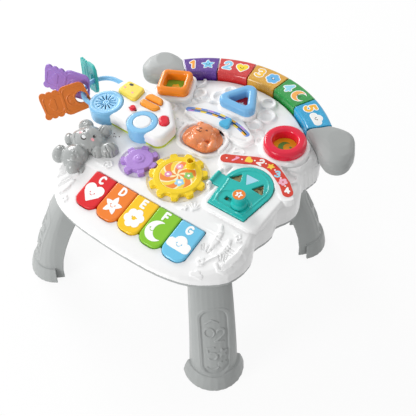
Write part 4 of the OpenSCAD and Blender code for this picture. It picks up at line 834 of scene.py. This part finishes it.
LOCK_AT, DOOR_TOP, LOCK_HEIGHT = (136.0, -12.0), 10.5, 25.3
LOCK_TRACK = slab(LOCK_AT[0] - 12, LOCK_AT[1], 62, 34, 17)
soften("door_panel", "door", 0.8, 5, TEAL, "door", "door_teal",
       lambda mesh: carve(mesh, PANEL, [(rim(LOCK_TRACK, 1.5), 1.3, 1.0)], (), 0.6))
soften("lock_knob_cap", "door_lock_knob", 0.8, 6, TEAL, "lock_knob", "door_teal")
for name, shape, area, material, high, deep, step in (
        ("orange", disc(0, 0, 10.6), around(0, 0, 12), ink("lock_orange", "#F0852F", 0.3, 0.4), 0.2, 0.5, 0.5),
        ("star", star(5, 7.2, 3.6), around(0, 0, 12), WHITE_PRINT_AND_HIGHLIGHT, 0.34, 0.1, 0.4),
        ("keyhole", join(disc(0, 0.6, 1.5), line([(0, 0), (0, -2.6)], 0.75)), (-4, -5, 4, 4),
         ink("lock_orange_mark", "#E0651F", 0.3), 0.46, 0.1, 0.25)):
    decal("lock_print_" + name, shape, area, at(PANEL, *LOCK_AT), material, "lock_knob", DOOR_TOP + LOCK_HEIGHT,
          high, deep, step)

# ------------------------------------------------------------------ rings and their wells

WELL_TOP = 11.2
for name, ring, slot, mark, area, material in (
        ("square", RING_ORANGE, "ring_orange", placed(join(flower(5, 15), disc(0, 0, 3)), *SQUARE_AT),
         around(*SQUARE_AT, 16), ink("well_yellow", "#F4C93A", 0.4)),
        ("triangle", RING_BLUE, "ring_blue", placed(star(5, 7, 3.6), *TRIANGLE_AT),
         around(*TRIANGLE_AT, 10), WHITE_PRINT_AND_HIGHLIGHT),
        ("round", RING_RED, "ring_red", placed(join(moon(22), disc(9, 4, 2.4)), *ROUND_AT),
         (108, 122, 146, 158), ink("well_green", "#5DAA4A", 0.4))):
    soften(name + "_ring_soft", name + "_ring", 0.9, 8, ring, "housing", slot)
    decal(name + "_well_print", mark, area, PANEL, material, "housing", WELL_TOP, 0.15, 0.3)

# ------------------------------------------------------------------ red strip

STRIP_SPINE = [(56, 60), (72, 67.6), (94, 79), (104, 84), (114, 87), (124, 88), (134, 87), (145, 83), (155, 78),
               (174, 67), (188, 54)]
STRIP_THICK = 1.0
strip = decal("strip_red", line(STRIP_SPINE, 9.2), (40, 40, 204, 104), PANEL, LABEL_RED, "housing", DOOR_TOP,
              STRIP_THICK, 0.4, 0.6)
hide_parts("roof_label")
STRIP_MARKS = [(glyph("1", 12, 1.8), 72, 67.6, -26, "#F4A9C4"), (heart(13), 92, 78, -30, "#F9D84A"),
               (glyph("2", 12, 1.8), 113, 86, -8, "#FBFBF8"), (star(5, 7.4, 3.6), 133, 87, 0, "#F9D84A"),
               (glyph("3", 12, 1.8), 152, 79, 24, "#9ADCF0"), (flower(5, 14), 169, 69, 0, "#F6B6CB"),
               (glyph("4", 11, 1.6), 185, 57, 40, "#FBFBF8")]
STRIP_DOTS = ((58, 61), (82, 73), (102, 83), (122, 88), (143, 84), (161, 74.5), (177, 63.5))
for k, (shape, x, y, turn, tone) in enumerate(STRIP_MARKS):
    decal(f"strip_mark_{k}", placed(shape, x, y, turn), around(x, y, 10), PANEL, ink(f"strip_tone_{k}", tone),
          "housing", DOOR_TOP + STRIP_THICK, 0.25, 0.3, 0.4)
for k, (x, y) in enumerate(STRIP_DOTS):
    decal(f"strip_dot_{k}", disc(x, y, 1.5), around(x, y, 3), PANEL, WHITE_PRINT_AND_HIGHLIGHT, "housing",
          DOOR_TOP + STRIP_THICK, 0.25, 0.3, 0.3)

# ------------------------------------------------------------------ slider

SLIDER_AT, SLIDER_R, PAD_TOP = (-8.0, -4.0), 147.0, 8.0
TAB_LOWEST, TAB_UNDERSIDE = 7.4, 8.4


def lift_tab(mesh):
    """The tab's flat underside clears the printed track, and its stem stays in the slot"""
    local = apply(PANEL.inverted(), coords(mesh))
    low = (local[:, 2] > TAB_LOWEST) & (local[:, 2] < TAB_UNDERSIDE)
    local[low, 2] = TAB_UNDERSIDE
    set_coords(mesh, apply(PANEL, local))


soften("slider_tab", "slider_knob", 0.7, 5, SLIDER, "slider_knob", "slider_blue", lift_tab)


def slider_arc(angle, r=SLIDER_R):
    """A point of the slider's path, by degrees"""
    a = math.radians(angle)
    return SLIDER_AT[0] + r * math.cos(a), SLIDER_AT[1] + r * math.sin(a)


def slider_stroke(first, last, r):
    """A stroke along the slider's path"""
    return line([slider_arc(a) for a in np.linspace(first, last, 24)], r)


TRACK = cut(slider_stroke(66, 118, 5.6), slider_stroke(66.4, 115.6, 1.7))
TRACK_MARK, MARK_ASIDE = disc(0, 0, 6.4, 2.6), 3.4
TRACK_TONES = ("#F6B93A", "#B98AD8", "#F6D84B")
decal("slider_track_blue", TRACK, (-95, 115, 66, 160), PANEL, ink("track_blue", "#6E8FD6"), "housing", PAD_TOP,
      0.06, 0.4, 0.6)
for k, angle in enumerate(np.linspace(68, 116, 11)):
    spot = slider_arc(angle, SLIDER_R + (MARK_ASIDE if k % 2 else -MARK_ASIDE))
    decal(f"slider_track_mark_{k}", both(TRACK, placed(TRACK_MARK, *spot, angle - 90)), around(*spot, 8), PANEL,
          ink(f"track_tone_{k}", TRACK_TONES[k % 3]), "housing", PAD_TOP, 0.12, 0.2, 0.4)

# ------------------------------------------------------------------ puppy and cub

PUPPY_RAISED = [(disc(-20, 86, 8, 5), 1.8, 5.0), (disc(-14, 59, 7.5, 6), 1.6, 4.0), (disc(3, 60, 7.5, 6), 1.6, 4.0)]
PUPPY_SUNK = [(line([(-34, 80), (-30, 71), (-23, 64)], 0.9), 1.2, 1.6),
              (line([(3, 92), (6, 82), (8, 70)], 0.9), 1.2, 1.6)]
puppy = soften("puppy_soft", "puppy_button", 0.9, 8, PUPPY, "puppy_button", "puppy_orange",
               lambda mesh: carve(mesh, PANEL, PUPPY_RAISED, PUPPY_SUNK, 0.2))
PUPPY_DARK = plastic("puppy_dark", "#7C3F20", rough=0.3, coat=0.4)
decal("puppy_lines", join(disc(-33, 94, 2.6, 2.0), disc(-8, 91, 2.6, 2.0),
                          disc(-20, 89, 3.4, 2.0), line([(-20, 87), (-20, 84)], 0.6),
                          line(arc(-22.6, 84, 2.6, 2, 180, 360), 0.7), line(arc(-17.4, 84, 2.6, 2, 180, 360), 0.7)),
      (-40, 76, 2, 100), PANEL, PUPPY_DARK, "puppy_button", high=0.2, deep=0.6, step=0.4, onto=puppy)

CUB_SUNK = [(line([(-132, -44), (-121, -48)], 1.0), 2.0, 1.3), (line([(-132, -37.5), (-119, -39)], 1.0), 2.0, 1.3),
            (line([(-131, -31), (-120, -30)], 1.0), 2.0, 1.3),
            (line(arc(-174, -44, 26, 22, 200, 340), 1.2), 1.8, 1.8),
            (join(line([(-175, -13), (-174, -21)], 1.1), line([(-168, -12), (-167, -21)], 1.1),
                  line([(-161, -13), (-161, -21)], 1.1)), 2.2, 1.3),
            (disc(-201, -24, 4.6), 1.6, 2.0), (disc(-146, -22, 4.6), 1.6, 2.0)]
CUB_RAISED = [(disc(-174.5, -50, 9, 7.5), 1.4, 4.0), (disc(-174.5, -45, 3.2, 2.4), 2.4, 2.2),
              (join(disc(-210, -84, 2.4), disc(-205, -81, 2.4), disc(-199, -82, 2.4), disc(-204, -90, 4.2)),
               1.5, 1.4),
              (join(disc(-171, -86, 2.4), disc(-165, -84, 2.4), disc(-159, -86, 2.4), disc(-165, -94, 4.2)),
               1.5, 1.4)]
CUB_FOLDS = [(line([(x, 0), (x, 13)], 0.9), 1.8, 1.6) for x in (-3, 4, 11, 18, 38, 44, 50, 56)]
CUB_GREY = plastic("cub_grey", "#A3A6A5", rough=0.24, coat=0.9, vary=0.04, grain=0.3, grain_scale=1300)
CUB_SIDE = at(PANEL, -174, -50, turn=37) @ turned(90, "X")


def cub_relief(mesh):
    """Folds at the cub's side, then its paws, muzzle and stitches"""
    carve(mesh, CUB_SIDE, (), CUB_FOLDS, 0.25)
    carve(mesh, PANEL, CUB_RAISED, CUB_SUNK, 0.15)


cub = soften("bear_cub_soft", "bear_cub", 0.95, 14, CUB_GREY, "housing", "leg_grey", cub_relief)
# Pale muzzle colour, lightened partly as a painted highlight on the muzzle
CUB_MUZZLE_AND_HIGHLIGHT = plastic("cub_muzzle_and_highlight", "#E9EAEA", rough=0.42, coat=0.1)


def on_face(name, shape, material, high, step=0.4):
    """A mark that lies on the cub's face: print, and the painted highlights on its eyes and muzzle"""
    decal(name, shape, (-200, -68, -146, -24), PANEL, material, "housing", high=high, deep=1.0, step=step, onto=cub)


on_face("cub_cheeks", join(disc(-188, -47.6, 3.0, 2.3), disc(-159, -47, 3.2, 2.4)), PINK, 0.3)
on_face("cub_eyes", join(disc(-184.5, -41, 2.5, 3.3), disc(-161, -39.8, 2.5, 3.3)), DARK_PRINT_AND_SHADE, 0.8)
# Painted highlight: a white dot on each eye stands for its glint
on_face("cub_eye_painted_highlights", join(disc(-183.9, -39.6, 0.8), disc(-160.4, -38.4, 0.8)), WHITE_PRINT_AND_HIGHLIGHT, 1.1, 0.25)
# Light muzzle patch: part muzzle colour, part painted highlight
on_face("cub_muzzle_and_highlight", disc(-174.4, -53.4, 4.6, 2.8), CUB_MUZZLE_AND_HIGHLIGHT, 0.4, 0.3)
on_face("cub_mouth", line(arc(-174.4, -53, 5.4, 4.2, 195, 345), 0.8), DARK_PRINT_AND_SHADE, 0.6, 0.3)

# ------------------------------------------------------------------ console

# Each piece's node, voxel, rounds of relax, material, body and slot
CONSOLE = (
    ("console_case", "console_body", 0.9, 7, WHITE, "housing", "shell_white"),
    ("speaker_cup", "speaker_housing", 0.75, 4, BLUE, "housing", "console_blue"),
    ("lens_cup", "lens_ring", 0.8, 5, BLUE, "housing", "console_blue"),
    ("lens_cap", "lens_button", 0.8, 5, LENS, "lens_button", "lens_white"),
    ("button_yellow", "square_button", 0.7, 5, BUTTON_YELLOW, "square_button", "button_yellow"),
    ("button_orange_back", "split_button_upper", 0.7, 5, BUTTON_ORANGE, "split_button_upper", "button_orange"),
    ("button_orange_front", "split_button_lower", 0.7, 5, BUTTON_ORANGE, "split_button_lower", "button_orange"),
    ("button_red_oval", "oval_button", 0.7, 6, BUTTON_RED, "oval_button", "button_red"),
    ("switch_red", "volume_switch", 0.6, 5, BUTTON_RED, "volume_switch", "button_red"),
    ("key_ring_soft", "key_ring", 0.8, 6, BLUE, "housing", "console_blue"),
)
for row in CONSOLE:
    soften(*row)

SQUARE_BUTTON_AT, SQUARE_BUTTON_TOP, SQUARE_BUTTON_AREA = (-182, 87), 34, (-24, -20, 24, 20)
for name, shape, material in (("dots", disc(-8, 10, 4.6, 3.0), DARK_PRINT_AND_SHADE),
                              ("marks", join(disc(-14, -2, 2.6, 2.0), disc(8, -6, 2.6, 2.0)), PINK)):
    decal("yellow_button_" + name, shape, SQUARE_BUTTON_AREA, at(PANEL, *SQUARE_BUTTON_AT), material,
          "square_button", SQUARE_BUTTON_TOP, 0.2, 0.4, 0.4)

# ------------------------------------------------------------------ toy keys

RING_AT, RING_R = (-234.0, 62.0, 22.0), 38.0
# Where each key hangs round the ring, and how far it rises and tilts, in degrees
KEY_POSES = {"orange": (234, -3, -24, KEY_ORANGE), "purple": (202, 16, -10, KEY_PURPLE),
             "teal": (156, -18, -10, KEY_TEAL)}
BOW = slab(15, 0, 46, 48, 11)
BLADE = slab(58, 0, 36, 34, 8)
KEY_FACE = [(rim(BOW, 1.3), 0.9, 1.0), (rim(BLADE, 1.1), 0.9, 1.0), (line([(40, -27), (40, 27)], 1.4), 0.9, 1.0),
            (rim(disc(20, 0, 12), 1.0), 0.8, 0.9), (placed(heart(13), 21, 0, -90), 0.9, 1.0),
            (placed(cloud(20), 59, 0, -90), 0.9, 1.0), (rim(disc(4, 0, 14), 1.1), 0.8, 0.9)]


def key_relief(place, rise, tilt):
    """The same raised marks on both faces of one key"""
    a = math.radians(place)
    spot = Matrix.Translation((RING_AT[0] + RING_R * math.cos(a), RING_AT[1] + RING_R * math.sin(a), RING_AT[2]))
    near = PANEL @ spot @ turned(place, "Z") @ turned(-rise, "Y") @ turned(90 - tilt, "X")

    def relief(mesh):
        for face in (near, near @ turned(180, "X")):
            carve(mesh, face, KEY_FACE, (), 0.5)
    return relief


for tone, (place, rise, tilt, material) in KEY_POSES.items():
    key = f"toy_key_{tone}"
    soften(key + "_soft", key, 0.7, 5, material, key, f"key_{tone}", key_relief(place, rise, tilt))

# ------------------------------------------------------------------ CAD nodes that stay as they are

PLAIN = {"bottom_cover": GREY, "grip_core": GREY, "piano_rod": STEEL, "gear_axles": WHITE, "door_window": PANE,
         "door_hinge_pin": STEEL, "door_picture_card": CARD, "square_floor": FLOOR_GREEN,
         "triangle_floor": FLOOR_RED, "round_floor": FLOOR_YELLOW, "console_base": LIME, "door_lock_foot": TEAL,
         "speaker_driver": CELL, "circuit_board": BOARD, "battery_door": GREY, "batteries": CELL,
         "battery_contacts": STEEL, "housing_screws": STEEL}
for name, material in PLAIN.items():
    mesh = NODES[name].data
    mesh.materials.clear()
    mesh.materials.append(material)

# ------------------------------------------------------------------ floor, light and camera

# Part of the floor's look that is lit and shadowed; the rest is plain white
SHADOW_SHARE = 0.09
FLOOR_SIZE, FLOOR_Z = 14, -0.0005
# Strength of the world as a lamp; where it is seen, it is 1, white
WORLD_LEVEL = 0.47


def seen_directly(tree):
    """1 for a ray that the camera, a gloss or a glass sends, 0 for the light's own"""
    path = node_of(tree, "ShaderNodeLightPath")
    total = path.outputs["Is Camera Ray"]
    for other in ("Is Glossy Ray", "Is Transmission Ray"):
        larger = node_of(tree, "ShaderNodeMath", operation="MAXIMUM")
        tree.links.new(total, larger.inputs[0])
        tree.links.new(path.outputs[other], larger.inputs[1])
        total = larger.outputs[0]
    return total


stage_mat = bpy.data.materials.new("stage_white")
stage_mat.use_nodes = True
tree = stage_mat.node_tree
lit = tree.nodes["Principled BSDF"]
lit.inputs["Base Color"].default_value = (0.92, 0.92, 0.92, 1)
lit.inputs["Roughness"].default_value = 0.9
bright = node_of(tree, "ShaderNodeEmission", Strength=1.0)
share = node_of(tree, "ShaderNodeMath", operation="MULTIPLY")
share.inputs[1].default_value = 1 - SHADOW_SHARE
tree.links.new(seen_directly(tree), share.inputs[0])
blend = node_of(tree, "ShaderNodeMixShader")
tree.links.new(share.outputs[0], blend.inputs[0])
tree.links.new(lit.outputs[0], blend.inputs[1])
tree.links.new(bright.outputs[0], blend.inputs[2])
tree.links.new(blend.outputs[0], tree.nodes["Material Output"].inputs["Surface"])
bpy.ops.mesh.primitive_plane_add(size=FLOOR_SIZE, location=(0, 0, FLOOR_Z))
floor = bpy.context.object
floor.name = "stage_floor"
floor.data.materials.append(stage_mat)

world = bpy.data.worlds.new("studio")
scene.world = world
world.use_nodes = True
tree = world.node_tree
level = node_of(tree, "ShaderNodeMapRange", To_Min=WORLD_LEVEL)
tree.links.new(seen_directly(tree), level.inputs["Value"])
tree.nodes["Background"].inputs["Color"].default_value = (1, 1, 1, 1)
tree.links.new(level.outputs[0], tree.nodes["Background"].inputs["Strength"])


def area_light(name, place, target, size, power):
    """A square lamp that looks at a point"""
    lamp = bpy.data.lights.new(name, "AREA")
    lamp.shape = "SQUARE"
    lamp.size = size
    lamp.energy = power
    holder = new_piece(name, lamp)
    holder.location = place
    holder.rotation_euler = (Vector(target) - Vector(place)).to_track_quat("-Z", "Y").to_euler()


area_light("key_light", (-1.7, 0.6, 1.25), (0, 0, 0.2), 0.9, 30)
area_light("front_light", (-0.5, -1.9, 0.9), (0, 0, 0.15), 0.8, 22)
area_light("back_light", (0.6, 1.5, 1.5), (0, 0, 0.2), 1.0, 6)

camera = bpy.data.cameras.new("camera")
camera.sensor_width = 36
camera.lens = 59.1
view = new_piece("camera", camera)
# Fitted to the photograph
view.matrix_world = Matrix(((0.799, -0.439, 0.410, 0.60929), (0.602, 0.585, -0.545, -0.70529),
                            (0.0, 0.682, 0.731, 1.07245), (0, 0, 0, 1)))
scene.camera = view
scene.view_settings.view_transform = "Standard"
